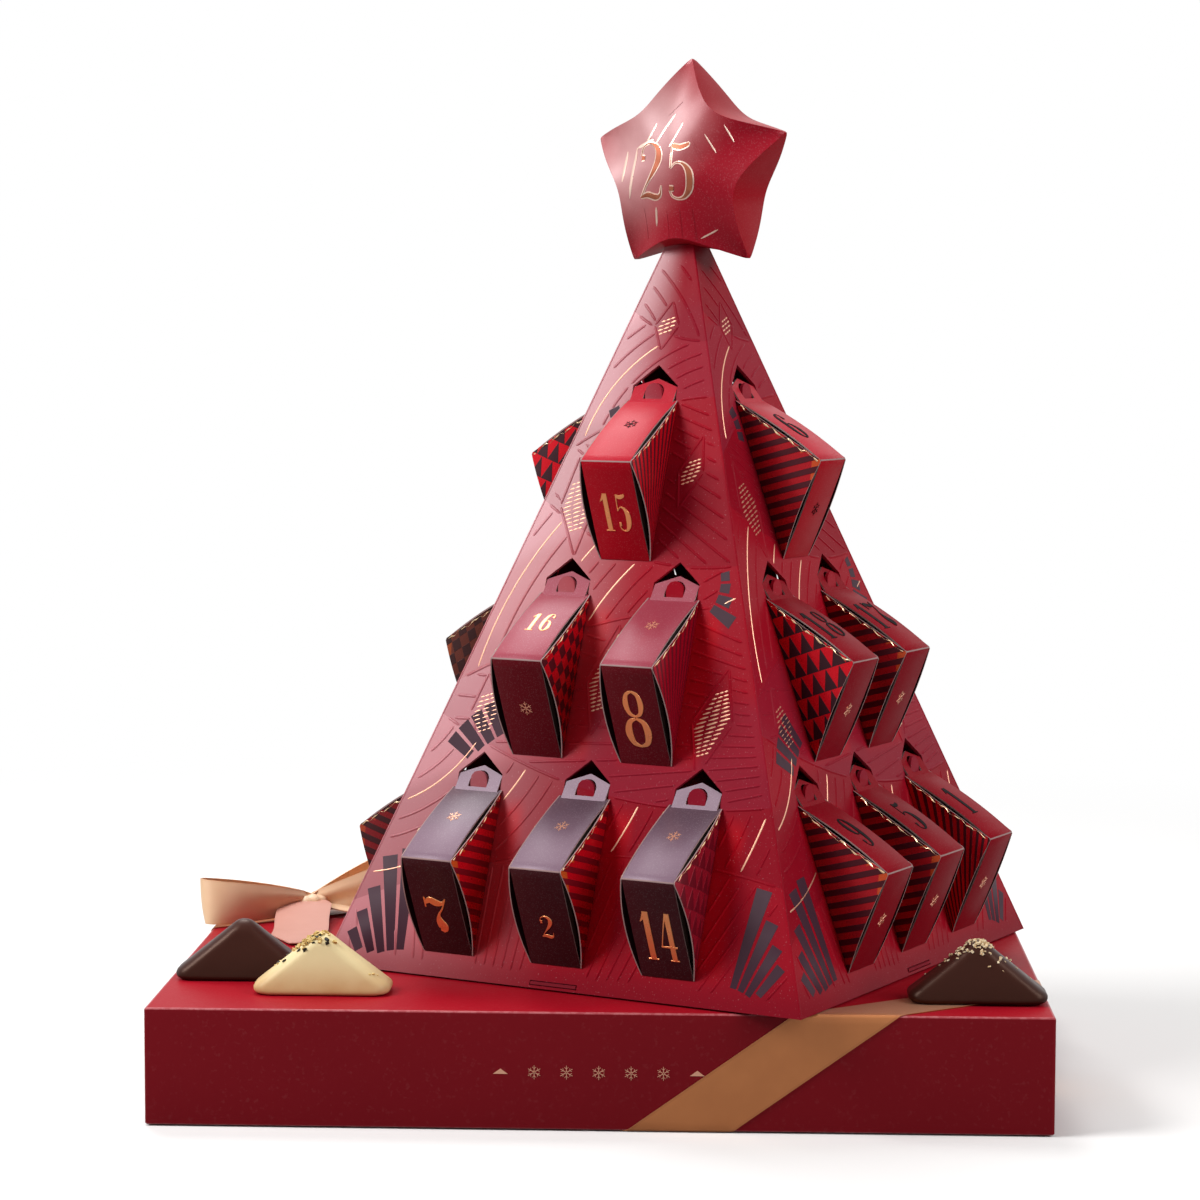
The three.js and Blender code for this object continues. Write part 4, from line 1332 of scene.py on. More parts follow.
# %% The colours of the boxes
MAUVE_GLOSS = (1.0, 0.86, 0.95)
# The top paints of plum, maroon and crimson are lighter, mauver copies of their front paints: painted light
# and sheen where the top panels face the lamps.
ROW_PAINTS = {
    # kind: front panel, top panel
    "plum": (
        panel_paint("plum_front", paint(62, 22, 27), 0.1),
        panel_paint("plum_top_painted_light", paint(126, 98, 114), 0.32, MAUVE_GLOSS, 0.2, 0.8),
    ),
    "maroon": (
        panel_paint("maroon_front", paint(96, 14, 24), 0.1),
        panel_paint("maroon_top_painted_light", paint(158, 60, 76), 0.22, MAUVE_GLOSS, 0.2, 0.1),
    ),
    "crimson": (
        panel_paint("crimson_front", paint(168, 6, 26), 0.1),
        panel_paint("crimson_top_painted_light", paint(190, 38, 54), 0.1),
    ),
    "garnet": (
        panel_paint("garnet_front", paint(136, 12, 28), 0.03),
        panel_paint("garnet_top", paint(142, 12, 28), 0.02),
    ),
}
WALL_FOILS = {
    name: wall_foil(name, kind, paint(*bright), paint(*dark), bronze)
    for name, (kind, bright, dark, bronze) in {
        "red_bars": ("bars", (206, 12, 30), (112, 8, 22), 0.8),
        "dark_bars": ("bars", (170, 22, 32), (62, 12, 22), 0.5),
        "wine_triangles": ("triangles", (156, 26, 46), (98, 10, 26), 0.0),
        "red_triangles": ("triangles", (206, 12, 30), (40, 16, 24), 0.0),
        "red_lozenges": ("lozenges", (206, 12, 30), (74, 12, 22), 0.0),
        "wine_rays": ("rays", (164, 10, 36), (96, 8, 24), 0.0),
        "red_rays": ("rays", (200, 14, 32), (70, 10, 22), 0.0),
        # painted shade: the brown foils are darker copies of the red foil, for boxes on the shaded left
        # face
        "brown_lozenges": ("lozenges", (92, 46, 36), (38, 18, 16), 0.3),
        "brown_bars": ("bars", (124, 28, 32), (46, 16, 18), 0.3),
    }.items()
}
CUT_EDGE = plain_card("cut_card_edge", paint(164, 132, 130), 0.7)
# painted shade: the inside of the card is near black, for the shadow inside the boxes
SHADED_BOX_INSIDE = plain_card("box_inside_painted_shade", paint(34, 12, 16), 0.6, 0.1)
NUMBER_FOIL = foil("number_foil", (0.92, 0.38, 0.15), 0.3, 0.75)
DARK_PRINT = plain_card("dark_print", paint(16, 8, 12), 0.5, 0.03)
print("finishes:", len(bpy.data.materials))

# %% [markdown]
# ### Every box in its place
#
# The 24 boxes are one folded blank with other colours, walls and numbers, so tables say
# what differs and one function makes them all. Each box is drawn in the coordinates of
# its face, with its upper end at a window. On some the number is on the top panel and the
# crystal on the front, on others it is the other way round.

# %% What differs from box to box
DARK_NUMBER_FACES = (1, 2)
FACE_NUMBERS = (
    # lower, middle and upper row of each face, from left to right
    ((7, 2, 14), (16, 8), (15,)),
    ((9, 5, 1), (18, 17), (6,)),
    ((19, 21, 23), (4, 13), (10,)),
    ((20, 12, 22), (3, 11), (24,)),
)
FACE_PAINTS = (
    ("plum", "maroon", "crimson"), ("garnet", "garnet", "crimson"),
    ("garnet", "maroon", "crimson"), ("plum", "maroon", "crimson"),
)
NUMBER_ON_TOP = {16, 9, 5, 1, 18, 17, 6, 21, 13, 20, 11}
WALL_FINISHES = {
    1: "red_rays", 2: "red_bars", 5: "dark_bars", 6: "dark_bars", 7: "red_bars", 8: "wine_rays",
    9: "dark_bars", 11: "brown_lozenges", 14: "wine_triangles", 15: "red_rays", 16: "red_lozenges",
    17: "dark_bars", 18: "red_triangles", 22: "brown_bars", 24: "red_triangles",
}
OTHER_WALLS = ("red_bars", "wine_triangles", "red_lozenges", "wine_rays")
NUMBER_SIZES = {
    # number: height, width of its figures, how far up the panel
    7: (14.5, 1.3, 0.41), 2: (8.8, 1.2, 0.41), 14: (19.6, 0.6, 0.44), 8: (22.8, 1.0, 0.467),
    15: (15.0, 0.69, 0.49), 16: (10.0, 0.9, 0.52),
}
NUMBER_RISE = 0.16
EMBLEM_RISE, EMBLEM_SIZE = 0.1, 2.7


# %% All 24 boxes
def make_box(face, row, column):
    """One box: strip, tab, two walls with their folds, a number and a crystal."""
    number = FACE_NUMBERS[face][row][column]
    place = np.array([column_places(row)[column], ROW_HEIGHTS[row], 0])
    skin = Skin()

    def add(points, faces, finishes, flat=None):
        points = np.asarray(points).reshape(-1, 3)
        flat = points[:, :2] if flat is None else flat
        skin.add(on_face(face, points + place), faces, finishes, flat)

    add(*folded_strip())
    add(*tab())
    for side in (-1, 1):
        add(*bowed_wall(side))
        add(*crinkled_fold(side, number * 1.3 + side), CREASE_GOLD)
    on_top = number in NUMBER_ON_TOP
    height, wide, up = NUMBER_SIZES.get(number, (16.0, 0.85, 0.52 if on_top else 0.42))
    marks = (
        ("top" if on_top else "front", written(number, height, wide), up, NUMBER_RISE, NUMBER),
        ("front" if on_top else "top", crystal(EMBLEM_SIZE), 0.5 if on_top else 0.56, EMBLEM_RISE, EMBLEM),
    )
    for panel, strokes, share, rise, finish in marks:
        for order, (line, widths) in enumerate(strokes):
            points, faces = stamped(line, widths, rise, order)
            middle = share * panel_length(panel)
            add(panel_points(panel, points[..., 0], points[..., 1] + middle, points[..., 2]), faces, finish)
    kind = FACE_PAINTS[face][row]
    finishes = [
        *ROW_PAINTS[kind], CUT_EDGE, SHADED_BOX_INSIDE,
        WALL_FOILS[WALL_FINISHES.get(number, OTHER_WALLS[number % 4])], GOLD_FOIL,
        DARK_PRINT if face in DARK_NUMBER_FACES else NUMBER_FOIL, DARK_PRINT if row == 2 else COPPER_FOIL,
    ]
    piece = skin.piece(f"praline_box_{number:02d}", f"drawer_{number:02d}", finishes)
    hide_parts(f"box_{number:02d}")
    return len(piece.data.polygons)


counts = [make_box(f, r, c) for f in range(4) for r in range(3) for c in range(3 - r)]
print("boxes:", len(counts), "faces in all:", sum(counts))

# %% [markdown]
# ## The star
#
# The star is puffed card: two cushions whose rims leave a gusset between them, wide at
# the notches and narrow at the points. Cloth could be blown up to such a form, but the
# result would change with every setting. Here the rim is a ring of points. Averaging
# each point with its neighbours rounds it, a little at the points and more at the
# notches, and the same averaging, step by step on the way to the middle, makes the
# cushion. The gusset bulges a little more round the slot for the tree's tongue.

# %% The rim of the star
STAR_CENTRE = np.array([2.0, 0.0, 289.01])
STAR_POINT = 40.9
STAR_NOTCH = 23.9
THIN_EDGE = 0.4
THICK_EDGE = 13.5
STAR_DEPTH = 16.0
STAR_STEPS = 40
STAR_ROWS = 26
RIM_ROUNDS = 26
SLOT_COLUMNS = 5
INNER_SHARE = 0.93


def eased(ring, strength):
    """The closed ring with each point moved towards the middle of its two neighbours."""
    middle = (np.roll(ring, 1, 0) + np.roll(ring, -1, 0)) / 2
    return ring + np.asarray(strength)[:, None] * (middle - ring)


def star_rim():
    """Across, up and half thickness at each point of the rim, from the left of the lowest
    notch round to it again."""
    corner = STAR_POINT * np.array([math.cos(math.pi / 5), math.sin(math.pi / 5)]) - [STAR_NOTCH, 0]
    x = np.arange(-STAR_STEPS // 2, STAR_STEPS // 2) / (STAR_STEPS / 2)
    ring, notchness = [], []
    for k in range(5):
        angle = math.radians(270 + 72 * k)
        out = np.array([math.cos(angle), math.sin(angle)])
        along = np.array([-out[1], out[0]])
        plan = (STAR_NOTCH + corner[0] * np.abs(x))[:, None] * out + (corner[1] * x)[:, None] * along
        thick = THIN_EDGE + (THICK_EDGE - THIN_EDGE) * np.sin(math.pi / 2 * (1 - np.abs(x)))
        ring.append(np.column_stack([plan, thick]))
        notchness.append(1 - np.abs(x))
    ring, notchness = np.concatenate(ring), np.concatenate(notchness)
    for _ in range(RIM_ROUNDS):
        ring = eased(ring, 0.03 + 0.6 * ease(notchness * 1.6))
    return ring


# %% Cushions, gusset and slot
GUSSET_SHARES = (0.955, 0.8, 0.55, 0.3, 0.082, -0.082, -0.3, -0.55, -0.8, -0.955)
SLOT_ROW = STAR_ROWS + 4


def star_grid():
    """Rings of points from the middle of the front, over the rim, to the middle of the back."""
    rim = star_rim()
    shares = np.linspace(1, 0.03, STAR_ROWS) ** 0.9
    front, ring = [], rim
    for share in shares:
        depth = ring[:, 2] + (STAR_DEPTH - ring[:, 2]) * (1 - share**1.7)
        front.append(np.column_stack([ring[:, :2] * share, depth]))
        for _ in range(4):
            ring = eased(ring, np.full(len(ring), 0.9))
    front = front[::-1]
    front[-1] = front[-1] + [0, 0, -0.02]
    gusset = []
    near_slot = ease(1.4 - np.hypot(rim[:, 0], rim[:, 1] + STAR_NOTCH) / 14)[:, None]
    for share in GUSSET_SHARES:
        pinch = 1 + (0.02 + 0.08 * near_slot) * (1 - share**2) * rim[:, 2:] / THICK_EDGE
        gusset.append(np.column_stack([rim[:, :2] * pinch, rim[:, 2] * share]))
    return np.stack(front + gusset + [ring * [1, 1, -1] for ring in front[::-1]])


STAR_FACE, STAR_GUSSET, STAR_LINING, STAR_CUT, STAR_NUMBER, STAR_RIM_FOIL = range(6)


def star_skin():
    """The star as a shell with the slot for the tree's tongue in its lowest gusset."""
    grid = star_grid()
    rows, columns = grid.shape[:2]
    left, right_end = STAR_STEPS // 2 - SLOT_COLUMNS, STAR_STEPS // 2 + SLOT_COLUMNS
    slot = {(SLOT_ROW, k) for k in range(left, right_end)}
    quads = capped(rows, columns)
    outer = [quad for quad in quads if len(quad) > 4 or divmod(quad[0], columns) not in slot]
    count = rows * columns
    inner = [[corner + count for corner in face[::-1]] for face in outer]
    upper, lower = SLOT_ROW * columns, (SLOT_ROW + 1) * columns
    loop = [upper + k for k in range(left, right_end + 1)]
    loop += [lower + k for k in range(right_end, left - 1, -1)]
    walls = [[b, a, a + count, b + count] for a, b in zip(loop, loop[1:] + loop[:1])]
    points = np.concatenate([grid.reshape(-1, 3), grid.reshape(-1, 3) * INNER_SHARE])
    gusset = range(STAR_ROWS - 1, rows - STAR_ROWS)
    in_gusset = [len(face) == 4 and face[0] // columns in gusset for face in outer]
    finishes = [STAR_GUSSET if inside else STAR_FACE for inside in in_gusset]
    finishes += [STAR_LINING] * len(inner) + [STAR_CUT] * len(walls)
    print("star faces:", len(outer))
    return points, outer + inner + walls, finishes


# %% From the star's own coordinates to the tree and the frame
def on_star(points):
    """Across, up and towards the front, from the star's middle, into the frame."""
    points = np.asarray(points, float)
    in_tree = np.stack([points[..., 0], -points[..., 2], points[..., 1]], -1) + STAR_CENTRE
    return in_tree @ about_z(TREE_TURN).T + TREE_CENTRE


def star_surface():
    """A function that gives the front cushion's depth over points (n, 2)."""
    front = star_grid()[:STAR_ROWS]
    quads = grid_faces(*front.shape[:2], round_columns=True)
    tree = BVHTree.FromPolygons(front.reshape(-1, 3).tolist(), quads)

    def depth(flat):
        found = [tree.ray_cast((x, y, 40.0), (0, 0, -1))[0] for x, y in flat.tolist()]
        return np.array([hit.z if hit is not None else STAR_DEPTH for hit in found])

    return depth


# %% [markdown]
# ### The star's number and print
#
# The front cushion carries the number 25, dark copper with a bright edge, and short
# dashes round it, some in foil and some only pressed. A Shrinkwrap modifier could lay
# them on the cushion. Here each point of a stroke is lifted to where a ray from the front
# meets it, which keeps all in one mesh. The print is crimson, and a rose patch that
# slants over the left half, partly print and partly painted sheen, matches the tree's
# first face.

# %% Stamp the front and join the star
STAR_DASHES = (
    # middle across and up, direction in degrees, length, width, stamped in foil
    (-9.5, 12.5, 60, 7.0, 1.0, True), (-4.0, 14.0, 58, 10.5, 1.0, True),
    (1.0, 12.0, 62, 8.0, 0.9, True), (-17.5, -1.5, 80, 15.0, 1.3, True),
    (-21.5, 1.0, 82, 9.0, 1.3, True), (-12.0, 9.0, 22, 6.5, 1.3, True),
    (9.5, 7.0, 118, 9.0, 0.7, False), (14.5, 8.5, 122, 6.5, 0.6, True),
    (12.5, -1.5, 130, 10.5, 0.6, False), (11.0, -8.5, 136, 7.0, 0.6, False),
    (-8.0, -17.5, 86, 5.5, 1.1, True), (-3.0, -20.5, 92, 8.0, 0.7, False),
    (2.5, -20.0, 93, 8.5, 0.7, False), (7.5, -20.5, 95, 9.0, 0.7, False),
    (12.5, -24.0, 28, 5.5, 0.7, True), (-13.5, -20.0, 90, 9.0, 0.7, False),
    (-1.0, 21.5, 45, 6.0, 0.6, False), (21.0, 12.0, 118, 5.5, 0.6, True),
)
STAR_COUNT = 25
NUMBER_HEIGHT = 21.0
NUMBER_PLACE = np.array([-3.2, -1.0])
DASH_STRETCH = 0.62


def make_star():
    """The star's shell, its number with a bright edge, and its dashes."""
    skin = Skin()
    points, faces, finishes = star_skin()
    skin.add(on_star(points), faces, finishes, points[:, :2])
    depth = star_surface()

    def stamp(line, widths, rise, order, finish):
        plate, faces = stamped(line, widths, rise, order)
        plate[..., 2] += depth(plate[..., :2].reshape(-1, 2)).reshape(plate.shape[:2])
        skin.add(on_star(plate), faces, finish, plate[..., :2])

    for order, (line, widths) in enumerate(written(STAR_COUNT, NUMBER_HEIGHT)):
        line = line + NUMBER_PLACE
        stamp(line, widths * 0.8 + 0.5, 0.1, order, STAR_RIM_FOIL)
        stamp(line, np.maximum(widths * 0.8 - 0.4, 0.1), 0.2, order, STAR_NUMBER)
    for x, y, degrees, length, width, is_foil in STAR_DASHES:
        angle = math.radians(degrees)
        half = DASH_STRETCH * length * np.array([math.cos(angle), math.sin(angle)])
        line = np.array([x, y]) + np.linspace(-1, 1, 6)[:, None] * half
        widths = width * np.array([0.4, 1, 1, 1, 1, 0.4])
        stamp(line, widths, 0.12, 0, STAR_RIM_FOIL if is_foil else STAR_FACE)
    finishes = [STAR_PAINT, GUSSET_PAINT, STAR_INSIDE, CUT_EDGE, STAR_NUMBER_FOIL, ROSE_GOLD]
    star = skin.piece("card_star", "star", finishes, sharp=58)
    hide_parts("star_shell")


# %% The star's print
def star_print():
    """Pearly crimson with a patch of soft rose over the left part, partly print and partly
    painted sheen from the lamp at the upper left: it runs up to the right, fades to both
    sides and to both ends, and is clear coated."""
    finish = Finish("star_paint", Specular_IOR_Level=0.3, Specular_Tint=RED_GLOSS, Coat_Roughness=0.3)
    u, v = finish.flat()
    x, y = u * 1000 + 15, v * 1000 - 9
    across = (x * 0.797 - y * 0.604).math("ABSOLUTE")
    along = (x * 0.604 + y * 0.797).math("ABSOLUTE")
    place = finish.place()
    cloud = finish.noise(0.01, place, 2.0)
    rose_and_sheen = (1 - (across + cloud * 4).above(17, 30)) * (1 - along.above(25, 26))
    speck = finish.noise(0.0005, place, 0.0).above(0.66, 0.1)
    # painted sheen in part: the rose patch stands partly for the lamp's sheen
    colour = finish.mix(rose_and_sheen, paint(158, 14, 34), paint(214, 160, 160))
    colour = finish.mix(cloud * 0.3, colour, paint(120, 8, 28))
    finish.feed("Base Color", finish.mix(speck * 0.05, colour, paint(230, 190, 196)))
    finish.feed("Coat Weight", rose_and_sheen * 0.6)
    finish.feed("Roughness", cloud * 0.1 + 0.32)
    finish.feed("Normal", card_grain(finish, place, 0.0004, 0.2))
    return finish


STAR_PAINT = star_print()
GUSSET_PAINT = panel_paint("star_gusset_paint", paint(158, 12, 28), 0.06)
STAR_NUMBER_FOIL = foil("star_number_foil", (0.44, 0.13, 0.07), 0.36, 0.6)
ROSE_GOLD = foil("rose_gold_foil", (0.98, 0.70, 0.58), 0.3, 0.7)
STAR_INSIDE = plain_card("star_inside", paint(150, 138, 128), 0.7)
make_star()

# %% [markdown]
# ## The gift box
#
# The lid is board wrapped in paper, worn paler along its rounded edges. The paper on top
# is painted brighter than on the sides: painted light, as the top faces the lamps. A cube
# with bevelled edges would have no inside. So the lid is a stack of rounded rectangles,
# from the inside of the top down to the rim and up again on the outside. Five plain snow
# crystals between two triangles are stamped on its front.

# %% Sizes of the lid and its marks
LID_HALF = np.array([155.0, 105.0])
LID_LOW, LID_TOP, LID_WALL = 0.6, 41.0, 2.0
EDGE_ROUND = 0.9
LID_SIDE, LID_EDGE, LID_BOARD, LID_MARK, LID_COVER = range(5)
MARK_PLACE, MARK_RISE = (0.5, 20.3), 0.08
CRYSTAL_PITCH, CRYSTAL_SIZE = 11.0, 2.4
TRIANGLE = (np.array([[0, 1.1], [0, -0.7]]), np.array([0.15, 5.2]))
TRIANGLE_PLACES = (-33.0, 34.0)


# %% The lid
def rounded_loop(half, corner, arc=6, sides=4):
    """The points of a rectangle with rounded corners, anticlockwise from the lower right:
    an arc at each corner, then points at even steps on the side after it."""
    half = np.asarray(half, float)
    arcs = []
    for k, signs in enumerate(((1, -1), (1, 1), (-1, 1), (-1, -1))):
        turn = np.linspace(0, math.pi / 2, arc) + (k - 1) * math.pi / 2
        arcs.append((half - corner) * signs + corner * np.stack([np.cos(turn), np.sin(turn)], 1))
    arcs = np.stack(arcs)
    here = arcs[:, -1:]
    after = np.roll(arcs[:, :1], -1, 0)
    between = here + (after - here) * np.arange(1, sides)[:, None] / sides
    return np.concatenate([arcs, between], 1).reshape(-1, 2)


def stack(rings):
    """A grid of points from rings given as inset of the lid's outline, corner radius and height."""
    grid = []
    for inset, corner, height in rings:
        loop = rounded_loop(LID_HALF - inset, corner)
        grid.append(np.column_stack([loop, np.full(len(loop), height)]))
    return np.stack(grid)


def lid_marks():
    """The strokes of each mark on the lid's front, and the place of its middle."""
    middle, height = MARK_PLACE
    for k in range(-2, 3):
        yield crystal(CRYSTAL_SIZE), np.array([middle + CRYSTAL_PITCH * k, height])
    for x in TRIANGLE_PLACES:
        yield [TRIANGLE], np.array([x, height])


def make_lid():
    """The lid's shell, with a finish for the faces between each two rings, and its marks."""
    rings = [
        (LID_WALL, 0.3, LID_TOP - LID_WALL),
        (LID_WALL, 0.3, LID_LOW + 0.3),
        (LID_WALL - 0.3, 0.5, LID_LOW),
        (0.4, 0.6, LID_LOW),
        (0.0, EDGE_ROUND, LID_LOW + 0.4),
    ]
    for turn in np.linspace(0, math.pi / 2, 5):
        inset = EDGE_ROUND * (1 - math.cos(turn))
        rings.append((inset, EDGE_ROUND, LID_TOP - EDGE_ROUND * (1 - math.sin(turn))))
    kinds = [LID_BOARD] * 2 + [LID_EDGE] * 2 + [LID_SIDE] * 2 + [LID_EDGE] * 3
    grid = stack(rings)
    rows, columns = grid.shape[:2]
    skin = Skin()
    skin.add(grid, capped(rows, columns), np.append(np.repeat(kinds, columns), [LID_BOARD, LID_COVER]))
    for strokes, middle in lid_marks():
        for order, (line, widths) in enumerate(strokes):
            plate, faces = stamped(line + middle, widths, MARK_RISE, order)
            plate = np.stack([plate[..., 0], -LID_HALF[1] - plate[..., 2], plate[..., 1]], -1)
            skin.add(plate, faces, LID_MARK)
    lid = skin.piece("gift_lid_paper", "gift_box", LID_FINISHES, sharp=35)
    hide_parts("gift_lid")
    print("lid faces:", len(lid.data.polygons))


# %% Paper over board
def board_paper(name, colour, worn, shine=0.18):
    """Dyed paper over board: fibres, a slow tone and, on edges, rubbed fibres."""
    finish = Finish(name, Specular_IOR_Level=shine, Specular_Tint=RED_GLOSS)
    place = finish.place()
    slow = finish.noise(0.03, place, 2.0)
    fibre = finish.noise(0.0007, place, 2.0)
    rubbed = finish.noise(0.0016, place, 4.0).above(0.66 - worn, 0.2)
    tone = finish.mix(slow * 0.5, colour, darker(colour, 0.8))
    finish.feed("Base Color", finish.mix(rubbed * (0.03 + worn) + worn, tone, paint(214, 150, 150)))
    finish.feed("Roughness", fibre * 0.16 + 0.36)
    finish.feed("Normal", card_grain(finish, place, 0.0005, 0.3))
    return finish


LID_PAPER = board_paper("lid_paper", paint(120, 13, 24), 0.0)
# painted light: the top paper is a brighter copy of the side paper, as the top faces the lamps
LID_TOP_PAPER_LIT = board_paper("lid_top_paper_painted_light", paint(158, 15, 31), 0.0, 0.06)
WORN_EDGE = board_paper("lid_paper_worn", paint(150, 26, 44), 0.16)
GREY_BOARD = plain_card("grey_board", paint(150, 146, 140), 0.8)
LID_FINISHES = [LID_PAPER, WORN_EDGE, GREY_BOARD, COPPER_FOIL, LID_TOP_PAPER_LIT]
make_lid()

# %% [markdown]
# ## The ribbon round the box
#
# The ribbon runs slanting round the front right and back left corners. Cloth pulled tight
# could slide off them, and a curve with a flat profile could twist. But on each side of
# the box the ribbon is a straight strip between two parallel lines. Bent over a rounded
# edge, the strip keeps its distance from the board: each point is pushed straight out
# from the nearest point of a slightly smaller box.

# %% The loop of ribbon
RIBBON_WIDTH = 21.0
RIBBON_GAP = 0.15
RIBBON_THICKNESS = 0.25
RIBBON_FOOT = 28.0
RIBBON_COLUMNS = 9
RIBBON_RISE = LID_TOP - LID_LOW
RIBBON_STEEP = (2 * LID_HALF[1] + RIBBON_RISE) / (2 * LID_HALF[0] + RIBBON_RISE)


def ribbon_crossings(foot):
    """Where a line of the ribbon crosses the box's edges, once round, on the sharp box."""
    top = foot + RIBBON_RISE / RIBBON_STEEP
    edge = -LID_HALF[1] + (LID_HALF[0] - top) * RIBBON_STEEP
    down = edge + RIBBON_RISE * RIBBON_STEEP
    half = [
        [foot, -LID_HALF[1], LID_LOW], [top, -LID_HALF[1], LID_TOP],
        [LID_HALF[0], edge, LID_TOP], [LID_HALF[0], down, LID_LOW],
    ]
    return np.array(half + [[-x, -y, z] for x, y, z in half])


def off_the_box(points, gap):
    """Points of the sharp box's surface, carried to a surface that far off the rounded box."""
    low = np.array([*-LID_HALF, LID_LOW]) + EDGE_ROUND
    high = np.array([*LID_HALF, LID_TOP]) - EDGE_ROUND
    core = np.clip(points, low, high)
    return core + unit(points - core) * (EDGE_ROUND + gap)


def ribbon_columns(columns):
    """The ribbon's points: steps along it times columns across it, on the sharp box."""
    angle = math.atan(RIBBON_STEEP)
    reach = RIBBON_WIDTH / 2 / math.sin(angle)
    lines = [ribbon_crossings(RIBBON_FOOT + reach * q) for q in np.linspace(-1, 1, columns)]
    lines = np.stack(lines, 1)
    rows = []
    for k in range(8):
        here, after = lines[k], lines[(k + 1) % 8]
        length = np.linalg.norm(after - here, axis=1).mean()
        near = np.array([0, 0.25, 0.5, 0.75, 1.05]) * EDGE_ROUND * 1.3 / length
        shares = np.concatenate([near, np.linspace(0, 1, 14)[1:-1], 1 - near[:0:-1]])
        rows += [here + (after - here) * share for share in np.unique(shares.round(6))]
    return np.stack(rows)


def make_ribbon():
    """The band with its thickness. Its length is taken along its middle, once round."""
    sharp_box = ribbon_columns(RIBBON_COLUMNS)
    outer = off_the_box(sharp_box, RIBBON_GAP + RIBBON_THICKNESS)
    inner = off_the_box(sharp_box, RIBBON_GAP)
    middle = outer[:, RIBBON_COLUMNS // 2]
    run = np.concatenate([[0], np.linalg.norm(np.diff(middle, axis=0), axis=1).cumsum()])
    length = run[-1] + np.linalg.norm(middle[0] - middle[-1])
    grid = np.concatenate([outer, inner[:, ::-1]], 1)
    q = np.linspace(-0.5, 0.5, RIBBON_COLUMNS) * RIBBON_WIDTH
    across = np.concatenate([q, q[::-1]])
    flat = np.stack(np.broadcast_arrays(across[None, :], run[:, None]), -1)
    skin = Skin()
    skin.add(grid, grid_faces(len(grid), 2 * RIBBON_COLUMNS, True, True), 0, flat)
    ribbon = skin.piece("ribbon_round_box", "gift_box", [SATIN], sharp=60)
    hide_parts("ribbon_wrap")
    print("ribbon length:", round(length), "mm")


# %% Satin
def satin(name, colour, shade, roughness, metallic):
    """Satin: fine threads along the ribbon, woven edges, and a slow change of tone."""
    finish = Finish(name, Specular_IOR_Level=0.6, Sheen_Weight=0.15, Metallic=metallic)
    u, v = finish.flat()
    place = finish.place()
    threads = (u * 2 * math.pi / 0.00042).math("SINE")
    weft = (v * 2 * math.pi / 0.0006).math("SINE")
    slow = finish.noise(0.012, place, 2.0)
    edge = (u.math("ABSOLUTE") * 1000).above(RIBBON_WIDTH / 2 - 0.8, 0.3)
    tone = finish.mix(slow * 0.6, colour, shade)
    finish.feed("Base Color", finish.mix(edge * 0.35, tone, shade))
    finish.feed("Roughness", slow * 0.12 + roughness - 0.06)
    finish.feed("Normal", finish.bump(threads * 0.5 + weft * (edge * 0.8 + 0.15), 0.00003, 0.6))
    return finish


SATIN = satin("copper_satin", paint(198, 124, 70), paint(158, 90, 46), 0.34, 0.45)
# painted light: the bow is the same ribbon as the wrap, coloured a far paler peach for the light it catches
PAINTED_LIGHT_BOW_SATIN = satin("peach_satin_painted_light", paint(250, 212, 172), paint(232, 176, 128), 0.42, 0.0)
# painted sheen: the front tail is coloured pinker for the sheen it catches at that angle
PAINTED_SHEEN_TAIL_SATIN = satin("pink_satin_painted_sheen", paint(206, 140, 120), paint(190, 122, 104), 0.5, 0.0)
make_ribbon()

# %% [markdown]
# ## The bow
#
# A loop leaves the knot as a narrow gathered neck, opens to the ribbon's full width and
# comes back beside itself. Tying a strip of cloth would take long and end differently
# each time, so the bow is drawn. A loop's path is a function of the turn round it, from 0
# to a full circle; how open it is grows from 0 at the knot to 1 at the far end. The tails
# follow smooth lines down to the lid and end in points.

# %% Loops, tails and knot
KNOT = np.array([-121.0, 76.0, 45.6])
BOW_LYING = 41.95
LOOP_LYING = 42.0
KNOT_HALF_LENGTH, KNOT_HALF_WIDTH, KNOT_HALF_HEIGHT = 6.2, 5.2, 3.4
BOW_THICKNESS = 0.4
BOW_NECK = 7.0
LOOP_HEIGHT = 17.0
LOOP_FATNESS = 8.0
LOOP_LEAN = 0.3
STRAND = math.atan(RIBBON_STEEP)
LOOPS = (
    # how far it reaches, its heading, how much it rises
    (47.0, math.pi + STRAND, 4.0),
    (45.0, STRAND - 0.1, 11.0),
)
TAILS = (
    # heading; points from the knot: to the right, to the back, up, and the width there; finish
    (-1.51, ((-1, -2, 4.55, 15), (-1.3, -10, 4.25, 21), (-0.5, -24, 1.85, 21), (1, -38, 0.2, 21),
             (1.6, -50.5, 0, 21), (2.4, -67, 0, 4)), 1),
    (0.12, ((2, 0, 3.55, 10), (11, 1, 2.05, 18), (21, 3, 0.6, 21), (35, 4.5, 0, 21), (45, 5.5, 0, 4)), 0),
)
ACROSS_STEPS = 11


def thick_sheet(middle, normals, thickness, closed):
    """Points and faces of a band with thickness from its middle surface and its normals."""
    outer = middle + normals * thickness / 2
    inner = middle - normals * thickness / 2
    grid = np.concatenate([outer, inner[:, ::-1]], 1)
    rows, columns = grid.shape[:2]
    faces = grid_faces(rows, columns, True, True) if closed else capped(rows, columns)
    return grid, faces


def surface_normals(grid, closed):
    """The unit normals of a grid of points, from its two directions."""
    if closed:
        along = np.roll(grid, -1, 0) - np.roll(grid, 1, 0)
    else:
        along = np.gradient(grid, axis=0)
    return unit(np.cross(along, np.gradient(grid, axis=1)))


